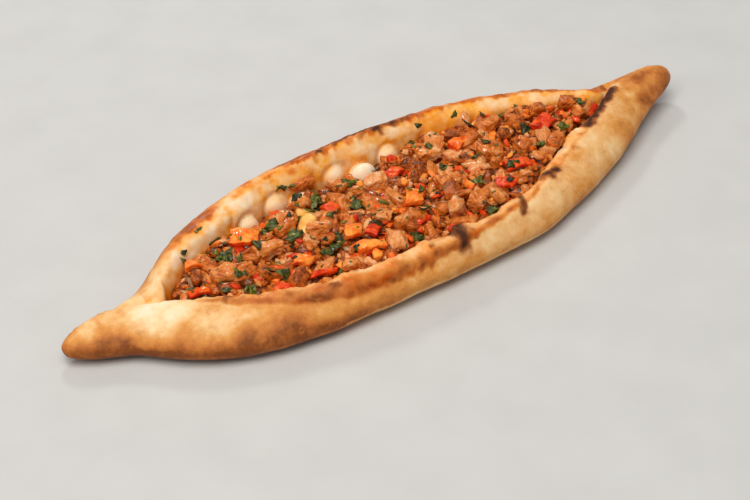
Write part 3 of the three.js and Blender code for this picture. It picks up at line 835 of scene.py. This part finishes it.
        # The heat runs down from the crest in tongues, longest in the middle
        middle = plateau(*self.middle, p.x)
        reach = 2.2 + (4.5 + 6 * middle) * abs(rough(Vector((p.x, 0, 0)), 9, 3)) + 1.8 * quick
        reach += 3.2 * plateau(*self.hot, p.x) * (1 + 0.6 * rough(p, 7, 3))
        crest = smooth(reach, 0.3 * reach, -far) * smooth(*self.crest_band, p.z)
        crest *= 0.3 + 0.7 * smooth(-160, -130, p.x)
        heat = 0.3 + 0.3 * quick + 0.16 * middle - 0.2 * plateau(*self.cool, p.x)
        heat += 0.2 * smooth(-104, -116, p.x) + 0.1 * smooth(60, 90, p.x)
        outer = smooth(1.0, 9.0, far) * smooth(self.wall_end, 160, abs(p.x)) * (0.12 + 0.16 * quick)
        # The inner face is kept paler, partly dough sheltered from the heat and partly painted light
        pale = (0.19 - 0.05 * middle + 0.12 * rough(p, 10, 2)) * (1 - crest)
        # A darker seam lies along the far wall's foot, by the filling's right half
        foot = along(self.far_foot, p.x)
        seam = plateau(*self.seam, p.x) * (0.7 + 0.5 * rough(Vector((p.x, 3, 0)), 12, 2))
        seam *= 0.45 * smooth(foot + 2.4, foot, p.z)
        # Painted shade: the creases between the pillows are browner
        return crest * heat + outer + inner * (0.2 * self.crease(p) - pale + seam)

    def handle_bake_and_shade(self, p: Vector, quick: float, slow: float) -> float:
        """Tell how much more the two handles browned than plain dough, with painted shade towards the left
        handle's bottom.

        Args:
            p: the place in millimetres.
            quick: noise with lumps 9 mm apart.
            slow: noise with lumps 30 mm apart.

        Returns:
            What to add to the tone.
        """
        # The left handle darkens towards its bottom, partly browning and partly painted shade
        left = 0.05 + 0.12 * smooth(21, 13, p.z) + 0.12 * quick + 0.08 * slow
        right = 0.3 + 0.14 * quick
        return left * smooth(-178, -196, p.x) + right * smooth(165, 188, p.x)

    def bake_and_shade(self, place: Vector, normal: Vector) -> float:
        """Tell how brown the crust is at a vertex, with painted shade and painted light laid into the same
        tone.

        Args:
            place: its place in metres.
            normal: which way it faces.

        Returns:
            0 for raw cream up to 1 for dark brown.
        """
        p = place / MM
        near = p.y - along(self.near_crest, p.x)
        far = p.y - along(self.far_crest, p.x)
        slow = rough(p, 30, 2)
        quick = rough(p + Vector((50, 0, 0)), 9, 3)
        value = self.plain_tone + 0.1 * slow + 0.05 * quick
        on_near = abs(near) < abs(far)
        if on_near and normal.z > -0.2:
            value += self.near_bake_and_shade(p, near, quick)
        elif not on_near and abs(p.x) < self.wall_end:
            value += self.far_bake_and_shade(p, far, quick, self.inside_far(p, normal))
        value += self.handle_bake_and_shade(p, quick, slow)
        rise = p.z - along(self.under, p.x)
        value += self.spots(self.brown_spots, p) - self.spots(self.pale_and_highlight_spots, p) * smooth(8, 15, rise)
        value -= 0.3 * self.bubble(p)
        if value > self.slow_tone:
            value = self.slow_tone + 0.6 * (value - self.slow_tone)
        # Darker towards the bottom, partly browning where it lay nearest the hot stone and partly painted
        # shade; the right end, baked more evenly, darkens less, and faces turned down are a little darker
        value += 0.64 * smooth(21, 9, rise + 3 * slow) * (1 - 0.78 * smooth(-112, -60, p.x))
        return clamp(value + 0.1 * smooth(-0.3, -0.85, normal.z))

    def char(self, place: Vector, normal: Vector) -> float:
        """Tell how scorched the crust is at a vertex; nothing below the rims is.

        Args:
            place: its place in metres.
            normal: not used.

        Returns:
            0 for clean crust up to 1 for char.
        """
        p = place / MM
        if p.z < self.clean_below:
            return 0.0
        warped = p + 2.0 * Vector((rough(p, 5.5, 3), rough(p + Vector((9, 9, 9)), 5.5, 3), 0))
        flecks = 1.3 * self.toast_and_shade(p) * smooth(-0.1, 0.6, rough(p, 8, 4))
        best = max(self.spots(self.char_spots, warped), flecks)
        for x0, y0, x1, y1, radius, depth in self.char_streaks:
            reach = Vector((x1 - x0, y1 - y0))
            offset = Vector((warped.x - x0, warped.y - y0))
            away = (offset - clamp(offset.dot(reach) / reach.length_squared) * reach).length
            best = max(best, depth * (1 - smooth(0.1 * radius, 1.5 * radius, away)))
        return best

    def oil(self, place: Vector, normal: Vector) -> float:
        """Tell how oily the crust is at a vertex: the near lip's seam, the far wall's crest and inner face.

        Args:
            place: its place in metres.
            normal: which way it faces.

        Returns:
            0 for dry up to 1 for soaked.
        """
        p = place / MM
        crest = smooth(6, 1.5, abs(p.y - along(self.far_crest, p.x))) * smooth(15, 20, p.z)
        crest *= 0.7 * plateau(*self.oiled, p.x) * (0.9 + rough(p, 8, 2))
        inner = self.inside_far(p, normal)
        if not inner:
            start = -2.0 + 4.0 * smooth(66, 50, p.x)
            lip = smooth(start, start + 3, self.folded(p)) * smooth(*self.rim_band, p.z)
            lip = max(1.3 * self.toast_and_shade(p), 0.5 * lip * plateau(*self.soaked, p.x))
            return min(1.0, max(crest, lip * (1 + 1.2 * rough(p, 9, 2))))
        foot = along(self.far_foot, p.x)
        wet = smooth(foot + 9, foot, p.z + 3 * rough(p, 8, 2)) * (0.5 + 0.5 * smooth(0, 50, p.x))
        golden = 0.62 + 0.28 * smooth(-90, -50, p.x) - 0.2 * smooth(70, 100, p.x)
        golden += 0.9 * rough(p, 12, 3) - 0.5 * hump(p.x - 2, 14)
        stained = self.spots(self.stains, p) * (0.8 + 0.6 * rough(p, 6, 2))
        value = max(wet, stained, 0.75 * self.crease(p), golden) * smooth(self.wall_end, 164, p.x)
        return clamp(max(crest, value * inner)) * (1 - 0.9 * self.bubble(p))

    def shape(self, place: Vector, normal: Vector) -> Vector:
        """Shape the dough: slow swells, a wavy lip, pillows, and blisters where it scorched.

        Args:
            place: a vertex's place in metres.
            normal: which way it faces.

        Returns:
            Its move in metres.
        """
        p = place / MM
        near = p.y - along(self.near_crest, p.x)
        far = p.y - along(self.far_crest, p.x)
        rim = max(hump(near - 1, 4.5), hump(far, 5)) * smooth(16, 20, p.z) * smooth(185, 160, abs(p.x))
        move = 0.5 * rough(p, 26, 2) + 0.24 * rough(p, 9, 2)
        move += rim * (0.9 * rough(p, 6.5, 3) + 0.5 * self.spots(self.char_spots, p))
        crease = hump(self.folded(p) + 1.2, 1.6) * plateau(*self.creased, p.x) * smooth(14, 18, p.z)
        move -= 0.8 * crease * (1 + 0.6 * rough(p, 14, 2))
        swell = (0.7 + along(self.far_swell, p.x)) * smooth(28, 21, p.z)
        move += self.inside_far(p, normal) * (swell - 1.3 * self.crease(p))
        moved = normal * move * smooth(0.5, 5, p.z) * (1 - 0.9 * self.bubble(p, 1.55, False))
        # The rim stands up and leans in, and its free edge waves and curls
        wave = Vector((p.x, 0, 0))
        up = smooth(*self.crest_band, p.z)
        top = plateau(-9, -2, 5, 10, near) * up
        lip = plateau(-1.5, 3.5, 6, 11, near) * up * smooth(self.wall_end, 150, abs(p.x))
        moved.z += top * along(self.near_rise, p.x) * (1 + 0.5 * rough(wave, 13, 2))
        lean = along(self.near_lean, p.x) * (1 + 0.5 * rough(wave, 17, 2))
        moved.y += lip * (lean + 1.5 * rough(wave, 7, 3))
        moved.z += lip * 1.2 * rough(wave + Vector((0, 40, 0)), 6, 3)
        return moved * MM

    def build(self) -> bpy.types.Object:
        """Build the whole crust.

        Returns:
            The finished piece.
        """
        made = evened(solid_copy("crust"), "baked_crust", self.voxel, 2)
        relax(made, 2)
        reshape(made, self.shape)
        paint(made, "bake_and_shade", self.bake_and_shade)
        paint(made, "char", self.char)
        paint(made, "oil", self.oil)
        paint(made, "pale", lambda place, normal: self.bubble(place / MM))
        return finish_piece(made, BakedDough().build(), "crust", "crust")


# ---------------------------------------------------------------- the filling


@dataclass
class Bed:
    """The mass of fried mince that the dice lie in, from the CAD filling."""

    voxel: float = 1.15 * MM
    # Bare dough, soaked in yellow oil, shows between the dice: x, y, radius
    bare: tuple = ((-64, 10, 6.5), (-69, 4, 6), (-58, 17, 6.5), (-60, 22, 4.5))

    def dough(self, place: Vector, normal: Vector) -> float:
        """Tell how far a vertex at a place in metres belongs to the bare patch, from 0 to 1."""
        p = place / MM
        return max(1 - smooth(0.6 * r, 1.2 * r, math.hypot(p.x - x, p.y - y)) for x, y, r in self.bare)

    def lumps(self, place: Vector, normal: Vector) -> Vector:
        """Break the top up into lumps and hollows, apart from the bare patch.

        Args:
            place: a vertex's place in metres.
            normal: which way it faces.

        Returns:
            Its move in metres.
        """
        p = place / MM
        bare = self.dough(place, normal)
        lump = 1.4 * rough(p, 7, 3) + 0.6 * rough(p, 2.4, 2) - 0.8
        return normal * smooth(-0.1, 0.5, normal.z) * ((1 - bare) * lump + 1.8 * bare) * MM

    def build(self) -> bpy.types.Object:
        """Build the bed.

        Returns:
            The finished piece.
        """
        made = evened(solid_copy("filling"), "mince_bed", self.voxel, 1)
        reshape(made, self.lumps)
        paint(made, "dough", self.dough)
        return finish_piece(made, ChoppedMince().build(), "filling", "filling")


class Cut(Enum):
    """How a kind of topping was cut, which begins its pieces' names."""

    DICE = "dice"
    STRIP = "strip"
    LEAF = "leaf"


@dataclass
class Topping:
    """One large piece on the heap, from its CAD node."""

    node: str
    cut: Cut
    tone: float
    # Which way its fibres run, seen from above
    angle: float
    # The tone of what faces up, where it differs
    top_tone: float | None = None

    def grain(self, obj: bpy.types.Object) -> None:
        """Store each vertex's place along and across the piece's own fibres.

        Args:
            obj: the piece.
        """
        low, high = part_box(self.node)
        centre = (low + high) / 2
        turn = Matrix.Rotation(-self.angle, 3, "Z") @ Matrix.Rotation(0.25, 3, "Y")
        layer = obj.data.attributes.new("grain", "FLOAT_VECTOR", "POINT")
        shift = Vector((7 * self.angle, 3 * self.tone, self.angle)) * 10 * MM
        flat = [c for v in obj.data.vertices for c in turn @ (v.co - centre) + shift]
        layer.data.foreach_set("vector", flat)

    def build_dice(
        self, material: bpy.types.Material, slot: str, value: str, ridge: float, voxel: float
    ) -> bpy.types.Object:
        """Build a diced or sliced piece.

        Args:
            material: what it is made of.
            slot: not used.
            value: the name of the attribute that holds its tone.
            ridge: how far its fibres stand out, in millimetres.
            voxel: its faces' size in metres.

        Returns:
            The finished piece.
        """
        made = evened(solid_copy(self.node), self.cut.value + "_" + self.node, voxel, 0)
        relax(made, 4)
        turn = Matrix.Rotation(-self.angle, 3, "Z")

        def relief(place: Vector) -> float:
            """Raise slow dents and fine ridges that run along the fibres.

            Args:
                place: a vertex's place in metres.

            Returns:
                Its height in millimetres.
            """
            p = place / MM
            q = turn @ p
            lines = rough(Vector((q.x * 0.25, q.y, q.z)), 1.7, 2)
            return ridge * (1.1 * rough(p, 5, 3) + lines)

        def warp(place: Vector) -> Vector:
            """Bend the whole piece a little, so that no cut face stays flat, in metres."""
            p = place / MM + Vector((17 * self.angle, 0, 0))
            return 1.3 * MM * Vector((rough(p, 9, 2), rough(p.yzx, 9, 2), rough(p.zxy, 9, 2)))

        top = self.tone if self.top_tone is None else self.top_tone
        points = made.data.vertices
        light = [self.tone + (top - self.tone) * smooth(0.3, 0.8, v.normal.z) for v in points]
        # Painted shade: what stands out is lighter than what lies deep
        tones = [tone + 0.22 * relief(v.co) / ridge for tone, v in zip(light, points)]
        reshape(made, lambda place, normal: normal * relief(place) * MM + warp(place))
        store(made, value, tones)
        self.grain(made)
        return finish_piece(made, material, slot, self.node)

    def build_leaf(self, material: bpy.types.Material) -> bpy.types.Object:
        """Build a limp leaf from its flat CAD plate.

        Args:
            material: what it is made of.

        Returns:
            The finished piece.
        """
        bm = solid_copy(self.node)
        bmesh.ops.subdivide_edges(bm, edges=bm.edges, cuts=3, use_grid_fill=True)
        bmesh.ops.triangulate(bm, faces=[f for f in bm.faces if len(f.verts) > 4])
        made = new_object(self.cut.value + "_" + self.node, mesh_of(bm, self.node))
        relax(made, 2, 0.4)
        shift = Vector((self.angle * 31, 0, 0))
        for vertex in made.data.vertices:
            p = vertex.co / MM + shift
            curl = Vector((0.9 * rough(p, 3, 2), 0.9 * rough(p.yzx, 3, 2), 1.5 * rough(p.zxy, 3, 2)))
            vertex.co += curl * MM
        made.data.update()
        store(made, "tone", [self.tone] * len(made.data.vertices))
        self.grain(made)
        return finish_piece(made, material, "parsley", self.node)


@dataclass
class Toppings:
    """The dice, strips and leaves that stand out of the heap."""

    # How light each meat piece is, in order of its node number
    meat_tones: tuple = (
        0.42, 0.9, 0.5, 0.7, 0.62, 0.6, 0.45, 0.6, 0.5, 0.35, 0.45, 0.65, 0.65, 0.5, 0.4, 0.65, 0.6, 0.42,
    )
    # How red each pepper piece is on its sides and on its top
    pepper_tones: tuple = (
        (0.75, 0.2), (0.75, 0.55), (0.4, 0.15), (0.85, 0.7), (0.3, 0.15), (0.8, 0.65), (0.3, 0.15),
        (0.7, 0.6), (0.85, 0.55), (0.6, 0.3), (0.85, 0.7), (0.8, 0.6), (0.85, 0.75), (0.4, 0.2),
        (0.85, 0.7), (0.35, 0.2), (0.8, 0.55),
    )
    leaf_tones: tuple = (0.55, 0.4, 0.35, 0.4, 0.5, 0.35, 0.75, 0.45, 0.45, 0.6, 0.35, 0.6, 0.55, 0.5)
    seed: int = 41
    pieces: list = field(default_factory=list)

    def build(self) -> list:
        """Build every topping.

        Returns:
            The finished pieces.
        """
        rng = random.Random(self.seed)
        meat, pepper, leaf = StewedMeat().build(), RoastedPepper().build(), WiltedParsley().build()
        for number, tone in enumerate(self.meat_tones, 1):
            piece = Topping(f"meat_{number:02d}", Cut.DICE, tone, rng.uniform(0, math.pi))
            self.pieces.append(piece.build_dice(meat, "meat", "tone", 0.46, 0.65 * MM))
        for number, (side, top) in enumerate(self.pepper_tones, 1):
            piece = Topping(f"pepper_{number:02d}", Cut.STRIP, side, rng.uniform(0, math.pi), top)
            self.pieces.append(piece.build_dice(pepper, "pepper", "ripe", 0.4, 0.6 * MM))
        for number, tone in enumerate(self.leaf_tones, 1):
            piece = Topping(f"parsley_{number:02d}", Cut.LEAF, tone, rng.uniform(0, math.pi))
            self.pieces.append(piece.build_leaf(leaf))
        return self.pieces


@dataclass
class Surface:
    """What a falling bit can land on: some pieces are ground, and the others are in the way."""

    ground: list
    blocks: list
    # Where a bit is dropped from, and the highest ground that it may land on
    drop: float = 80 * MM
    highest: float = 27.5 * MM
    # Left free, so that the bare dough shows: x, y, radius in millimetres
    free: tuple = ()

    def __post_init__(self) -> None:
        """Build the search trees."""
        self.floor = self.tree(self.ground)
        self.others = self.tree(self.blocks)

    @staticmethod
    def tree(objects: list) -> BVHTree:
        """Join objects' meshes into one search tree.

        Args:
            objects: the objects.

        Returns:
            The tree.
        """
        points, faces = [], []
        for obj in objects:
            start = len(points)
            points += [v.co.copy() for v in obj.data.vertices]
            faces += [[start + i for i in f.vertices] for f in obj.data.polygons]
        return BVHTree.FromPolygons(points, faces)

    def land(self, x: float, y: float, clear: float) -> tuple | None:
        """Drop a bit at a place in millimetres.

        Args:
            x: along the boat.
            y: across it.
            clear: how far it must stay from every piece in the way, in metres.

        Returns:
            The place and normal where it lands, or None if it would land on something else.
        """
        if any(math.hypot(x - cx, y - cy) < 1.1 * radius for cx, cy, radius in self.free):
            return None
        start = Vector((x * MM, y * MM, self.drop))
        down = Vector((0, 0, -1))
        place, normal, _, depth = self.floor.ray_cast(start, down)
        if place is None or place.z > self.highest:
            return None
        block = self.others.ray_cast(start, down)
        if block[0] is not None and block[3] < depth + 0.3 * MM:
            return None
        nearest = self.others.find_nearest(place)
        if nearest[0] is not None and (nearest[0] - place).length < clear:
            return None
        return place, normal


@dataclass
class Bits:
    """A kind of small pieces, scattered over the heap and joined into one mesh; lengths in millimetres."""

    name: str
    # How far apart they fall, and the least and most that one measures
    spacing: float
    sizes: tuple
    # How much longer, wider and higher than that it may be
    stretch: tuple
    tones: tuple
    # How deep it sinks into the ground, as a share of its height
    sink: float
    seed: int
    # How far it stays from what is in the way, and from the far lip
    clear: float = 1.0
    aside: float = 0.0
    # The share of places that get one
    keep: float = 1.0
    attribute: str = "tone"
    # How uneven its skin is
    jagged: float = 0.22
    span: tuple = (-162, 158)
    # The least that the ground faces up, as its normal's z
    steepest: float = 0.0
    # Single bits at their own places: x, y
    extra: tuple = ()
    # The highest that one may reach; one that would stand higher is pressed down
    roof: float = 32.2

    def shape(self, rng: random.Random) -> bmesh.types.BMesh:
        """Make one bit of unit radius.

        Args:
            rng: not used.

        Returns:
            Its own small bmesh.
        """
        bm = bmesh.new()
        bmesh.ops.create_icosphere(bm, subdivisions=2, radius=1.0)
        return bm

    def add(self, heap: bmesh.types.BMesh, place: Vector, normal: Vector, rng: random.Random) -> None:
        """Lay one bit down and join it to the heap.

        Args:
            heap: the bmesh that holds the bits so far.
            place: where it lands, in metres.
            normal: which way the ground faces there.
            rng: the seeded source of its size, turn and tone.
        """
        size = rng.uniform(*self.sizes) / 2 * MM
        scale = Vector([rng.uniform(*share) * size for share in self.stretch])
        upright = (normal + Vector((0, 0, 0.6))).normalized()
        tilt = Vector((0, 0, 1)).rotation_difference(upright).to_matrix()
        spin = Matrix.Rotation(rng.uniform(0, 2 * math.pi), 3, "Z")
        turn = tilt @ spin @ Matrix.Rotation(rng.uniform(-0.5, 0.5), 3, "X")
        centre = place + normal * scale.z * (1 - 2 * self.sink)
        shift = Vector([rng.uniform(0, 99) for _ in range(3)])
        tone = rng.uniform(*self.tones)
        bm = self.shape(rng)
        tone_layer = bm.verts.layers.float.new(self.attribute)
        grain_layer = bm.verts.layers.float_vector.new("grain")
        for vertex in bm.verts:
            local = Vector([c * s for c, s in zip(vertex.co, scale)])
            lump = rough(local / MM + shift, 2.2, 2)
            local *= 1 + self.jagged * lump
            vertex.co = centre + turn @ local
            # Painted shade: a bit is lighter where its skin bulges out and darker where it dips in
            vertex[tone_layer] = tone + 0.3 * lump
            vertex[grain_layer] = local + shift * MM
        over = max(v.co.z for v in bm.verts) - self.roof * MM
        bmesh.ops.translate(bm, verts=bm.verts, vec=(0, 0, min(0.0, -over)))
        bit = mesh_of(bm, "bit")
        heap.from_mesh(bit)
        bpy.data.meshes.remove(bit)

    def scatter(self, surface: Surface, edge: Callable[[float], tuple]) -> bpy.types.Object:
        """Scatter the bits over the ground.

        Args:
            surface: what they land on.
            edge: a function of x that gives the lowest and highest y of the opening, in millimetres.

        Returns:
            The joined object.
        """
        rng = random.Random(self.seed)
        heap = bmesh.new()
        heap.verts.layers.float.new(self.attribute)
        heap.verts.layers.float_vector.new("grain")
        places = list(self.extra)
        x = self.span[0]
        while x < self.span[1]:
            y, high = edge(x)
            while y < high - self.aside:
                if rng.random() < self.keep:
                    right, up = rng.uniform(-0.5, 0.5), rng.uniform(-0.5, 0.5)
                    places.append((x + right * self.spacing, y + up * self.spacing))
                y += self.spacing
            x += self.spacing
        for number, (px, py) in enumerate(places):
            landed = surface.land(px, py, self.clear * MM)
            if landed and landed[1].z > self.steepest:
                self.add(heap, *landed, random.Random(1000 * self.seed + number))
        return new_object(self.name, mesh_of(heap, self.name))


class Chunks(Bits):
    """Chopped bits with cut faces."""

    def shape(self, rng: random.Random) -> bmesh.types.BMesh:
        """Make a rounded block whose corners are cut off at random.

        Args:
            rng: the seeded source of the cuts.

        Returns:
            Its own small bmesh.
        """
        bm = bmesh.new()
        bmesh.ops.create_cube(bm, size=2.0)
        bmesh.ops.subdivide_edges(bm, edges=bm.edges, cuts=3, use_grid_fill=True)
        planes = []
        for _ in range(5):
            facing = Vector([rng.gauss(0, 1) for _ in range(3)]).normalized()
            planes.append((facing, rng.uniform(0.5, 0.85)))
        for vertex in bm.verts:
            place = vertex.co * (0.55 + 0.45 / vertex.co.length)
            for normal, limit in planes:
                place -= normal * max(0.0, place.dot(normal) - limit)
            vertex.co = place
        return bm


class Flakes(Bits):
    """Chopped leaf, as thin lobed flakes that curl."""

    def shape(self, rng: random.Random) -> bmesh.types.BMesh:
        """Make a thin disc with a lobed rim and a fold.

        Args:
            rng: the seeded source of the lobes and the fold.

        Returns:
            Its own small bmesh.
        """
        bm = bmesh.new()
        disc = {"radius1": 1.0, "radius2": 1.0, "depth": 0.5}
        bmesh.ops.create_cone(bm, cap_ends=True, cap_tris=True, segments=9, **disc)
        phase, fold = rng.uniform(0, 6.3), rng.uniform(-2, 2)
        for vertex in bm.verts:
            turn = math.atan2(vertex.co.y, vertex.co.x)
            reach = math.hypot(vertex.co.x, vertex.co.y) * (1 + 0.35 * math.sin(3 * turn + phase))
            x, y = reach * math.cos(turn), reach * math.sin(turn)
            vertex.co = (x, y, vertex.co.z + fold * x * x)
        return bm


@dataclass
class Scatter:
    """All the small bits of the heap, kind by kind."""

    # The opening's two sides: x, y
    near_lip: tuple = (
        (-165, 0), (-145, -19), (-113, -38), (-83, -48), (-38, -53), (16, -52), (54, -46), (88, -32),
        (121, -16), (148, -3), (168, 9),
    )
    far_lip: tuple = (
        (-165, 2), (-157, 9), (-135, 25), (-103, 36), (-58, 47), (-3, 53), (41, 53), (78, 48), (116, 36),
        (146, 24), (168, 14),
    )

    def edge(self, x: float) -> tuple:
        """Give the opening's lowest and highest y at x, in millimetres."""
        return along(self.near_lip, x), along(self.far_lip, x)

    def build(self, crust: bpy.types.Object, bed: bpy.types.Object, toppings: list) -> None:
        """Scatter each kind and dress it: meat, pepper and onion on the bed, then parsley over everything.

        Args:
            crust: the bread, which no bit may touch.
            bed: the mince bed.
            toppings: the large pieces.
        """
        meat, onion = StewedMeat(name="stewed_mince").build(), StewedOnion().build()
        pepper, leaf = bpy.data.materials["roasted_pepper"], bpy.data.materials["wilted_parsley"]
        chunks = Chunks(
            "meat_chunks", spacing=9.2, sizes=(6.5, 15), stretch=((0.8, 1.35), (0.6, 1.0), (0.45, 0.8)),
            tones=(0.05, 0.95), sink=0.28, seed=3, clear=1.8, aside=9, jagged=0.28,
        )
        mince = Bits(
            "meat_mince", spacing=4.6, sizes=(3, 6.5), stretch=((0.9, 1.7), (0.55, 0.9), (0.45, 0.8)),
            tones=(0.1, 0.9), sink=0.2, seed=5, clear=0.9, aside=4, jagged=0.6,
        )
        dice = Chunks(
            "pepper_bits", spacing=9.5, sizes=(3.5, 8), stretch=((0.8, 1.3), (0.6, 1.0), (0.4, 0.7)),
            tones=(0.0, 0.85), sink=-0.1, seed=7, aside=9, attribute="ripe", jagged=0.2,
        )
        slivers = Bits(
            "onion_slivers", spacing=15, sizes=(4, 7), stretch=((1.0, 1.6), (0.4, 0.6), (0.25, 0.4)),
            tones=(0.1, 0.8), sink=0.0, seed=11, clear=0.8, aside=6, jagged=0.45,
            extra=(
                (-154, -1), (-152, 3), (-150, -6), (-148, 0), (-147, 6), (-144, 3), (-141, -4), (-139, 4),
            ),
        )
        surface = Surface([bed], [crust, *toppings], free=Bed.bare)
        laid = []
        on_bed = (
            (chunks, meat, "meat"), (mince, meat, "meat"),
            (dice, pepper, "pepper"), (slivers, onion, "filling"),
        )
        for kind, material, slot in on_bed:
            laid.append(finish_piece(kind.scatter(surface, self.edge), material, slot))
        flakes = Flakes(
            "parsley_bits", spacing=7.5, sizes=(3, 8.5), stretch=((0.8, 1.5), (0.5, 1.0), (0.2, 0.3)),
            tones=(0.1, 0.65), sink=0.3, seed=9, clear=0.6, aside=3, keep=0.24, steepest=0.45,
        )
        specks = Flakes(
            "parsley_specks", spacing=5, sizes=(1.5, 3.2), stretch=((0.8, 1.6), (0.5, 1.0), (0.3, 0.4)),
            tones=(0.2, 0.8), sink=0.3, seed=13, clear=0.6, keep=0.22, steepest=0.2,
        )
        surface = Surface([bed, *toppings, laid[0], laid[2]], [crust], free=Bed.bare[:2])
        for kind in (flakes, specks):
            finish_piece(kind.scatter(surface, self.edge), leaf, "parsley")
        # Flakes that strayed onto the bread, at their own places alone
        stray = Flakes(
            "parsley_on_bread", spacing=9, sizes=(4, 6.5), stretch=((0.8, 1.4), (0.4, 0.8), (0.2, 0.3)),
            tones=(0.2, 0.6), sink=0.3, seed=19, keep=0.0, steepest=-1.0,
            extra=(
                (-125.9, 32.2), (-123, 33.5), (-140.2, 22.9), (-142, 20), (45.6, 50.1), (71, 46),
                (-62, 45.4), (-59, 44.5),
            ),
        )
        finish_piece(stray.scatter(Surface([crust], []), self.edge), leaf, "parsley")


# ---------------------------------------------------------------- the studio


@dataclass
class Studio:
    """A plain pale floor, soft light from above and the left, and the camera."""

    eye: tuple = (-450.2, -626.1, 600.6)
    aim: tuple = (-37.5, -22.7, 8.6)
    lens: float = 76.32
    sensor: float = 36
    # The nearest and farthest that the camera sees, in metres
    clip: tuple = (0.05, 20)
    # Area lights: name, place and width in metres, watts and colour
    lights: tuple = (
        ("softbox", (-0.45, -0.28, 1.97), 1.5, 30, "FFFDF8"),
        ("key", (-1.75, -0.3, 1.6), 0.8, 9, "FFF8EC"),
        ("glint", (0.45, 1.2, 0.95), 0.2, 6, "FFFFFF"),
    )
    room: str = "F6F6F4"
    room_strength: float = 0.34
    # Paper's flecks, and the two greys that they lie between
    fleck_pitch: float = 40 * MM
    greys: tuple = ((0.3, "C6C5C3"), (0.7, "CBCAC8"))

    def light(self, name: str, place: tuple, size: float, power: float, colour: str) -> None:
        """Add a square area light that shines at the boat's middle.

        Args:
            name: its name.
            place: its place in metres.
            size: its width in metres.
            power: its watts.
            colour: its sRGB hex colour.
        """
        data = bpy.data.lights.new(name, "AREA")
        data.shape, data.size, data.energy, data.color = "SQUARE", size, power, linear(colour)[:3]
        lamp = bpy.data.objects.new(name, data)
        lamp.location = place
        lamp.rotation_euler = (-Vector(place)).to_track_quat("-Z", "Y").to_euler()
        bpy.context.scene.collection.objects.link(lamp)

    def floor(self) -> None:
        """Lay a wide matt floor just under the bread."""
        bm = bmesh.new()
        below = Matrix.Translation((0, 0, -0.2 * MM))
        bmesh.ops.create_grid(bm, x_segments=1, y_segments=1, size=8.0, matrix=below)
        floor = new_object("floor", mesh_of(bm, "floor"))
        t = Tree("pale_paper")
        place = t.add("TexCoord", {}, "Object")
        fleck = t.add("TexNoise", {"Vector": place, "Scale": 1 / self.fleck_pitch, "Detail": 3})
        colour = t.add("ValToRGB", {0: fleck}, stops=self.greys)
        t.put(t.shader, {"Base Color": colour, "Roughness": 0.9})
        floor.data.materials.append(t.material)

    def world(self) -> None:
        """Fill the room with an even, faint light."""
        world = bpy.data.worlds.new("soft_room")
        bpy.context.scene.world = world
        world.use_nodes = True
        background = world.node_tree.nodes["Background"]
        background.inputs["Color"].default_value = linear(self.room)
        background.inputs["Strength"].default_value = self.room_strength

    def camera(self) -> None:
        """Set up the camera at eye, looking at aim."""
        data = bpy.data.cameras.new("camera")
        data.lens, data.sensor_width = self.lens, self.sensor
        data.clip_start, data.clip_end = self.clip
        camera = bpy.data.objects.new("camera", data)
        eye, aim = Vector(self.eye) * MM, Vector(self.aim) * MM
        camera.location = eye
        camera.rotation_euler = (aim - eye).to_track_quat("-Z", "Y").to_euler()
        bpy.context.scene.collection.objects.link(camera)
        bpy.context.scene.camera = camera

    def build(self) -> None:
        """Set up floor, world, lights and camera."""
        bpy.context.scene.view_settings.view_transform = "Standard"
        self.floor()
        self.world()
        for light in self.lights:
            self.light(*light)
        self.camera()


def main() -> None:
    """Build the bread, the heap and the studio in order."""
    logging.basicConfig(level=logging.INFO, format="%(name)s %(message)s")
    crust = Crust().build()
    bed = Bed().build()
    toppings = Toppings().build()
    Scatter().build(crust, bed, toppings)
    Studio().build()


if __name__ == "__main__":
    main()
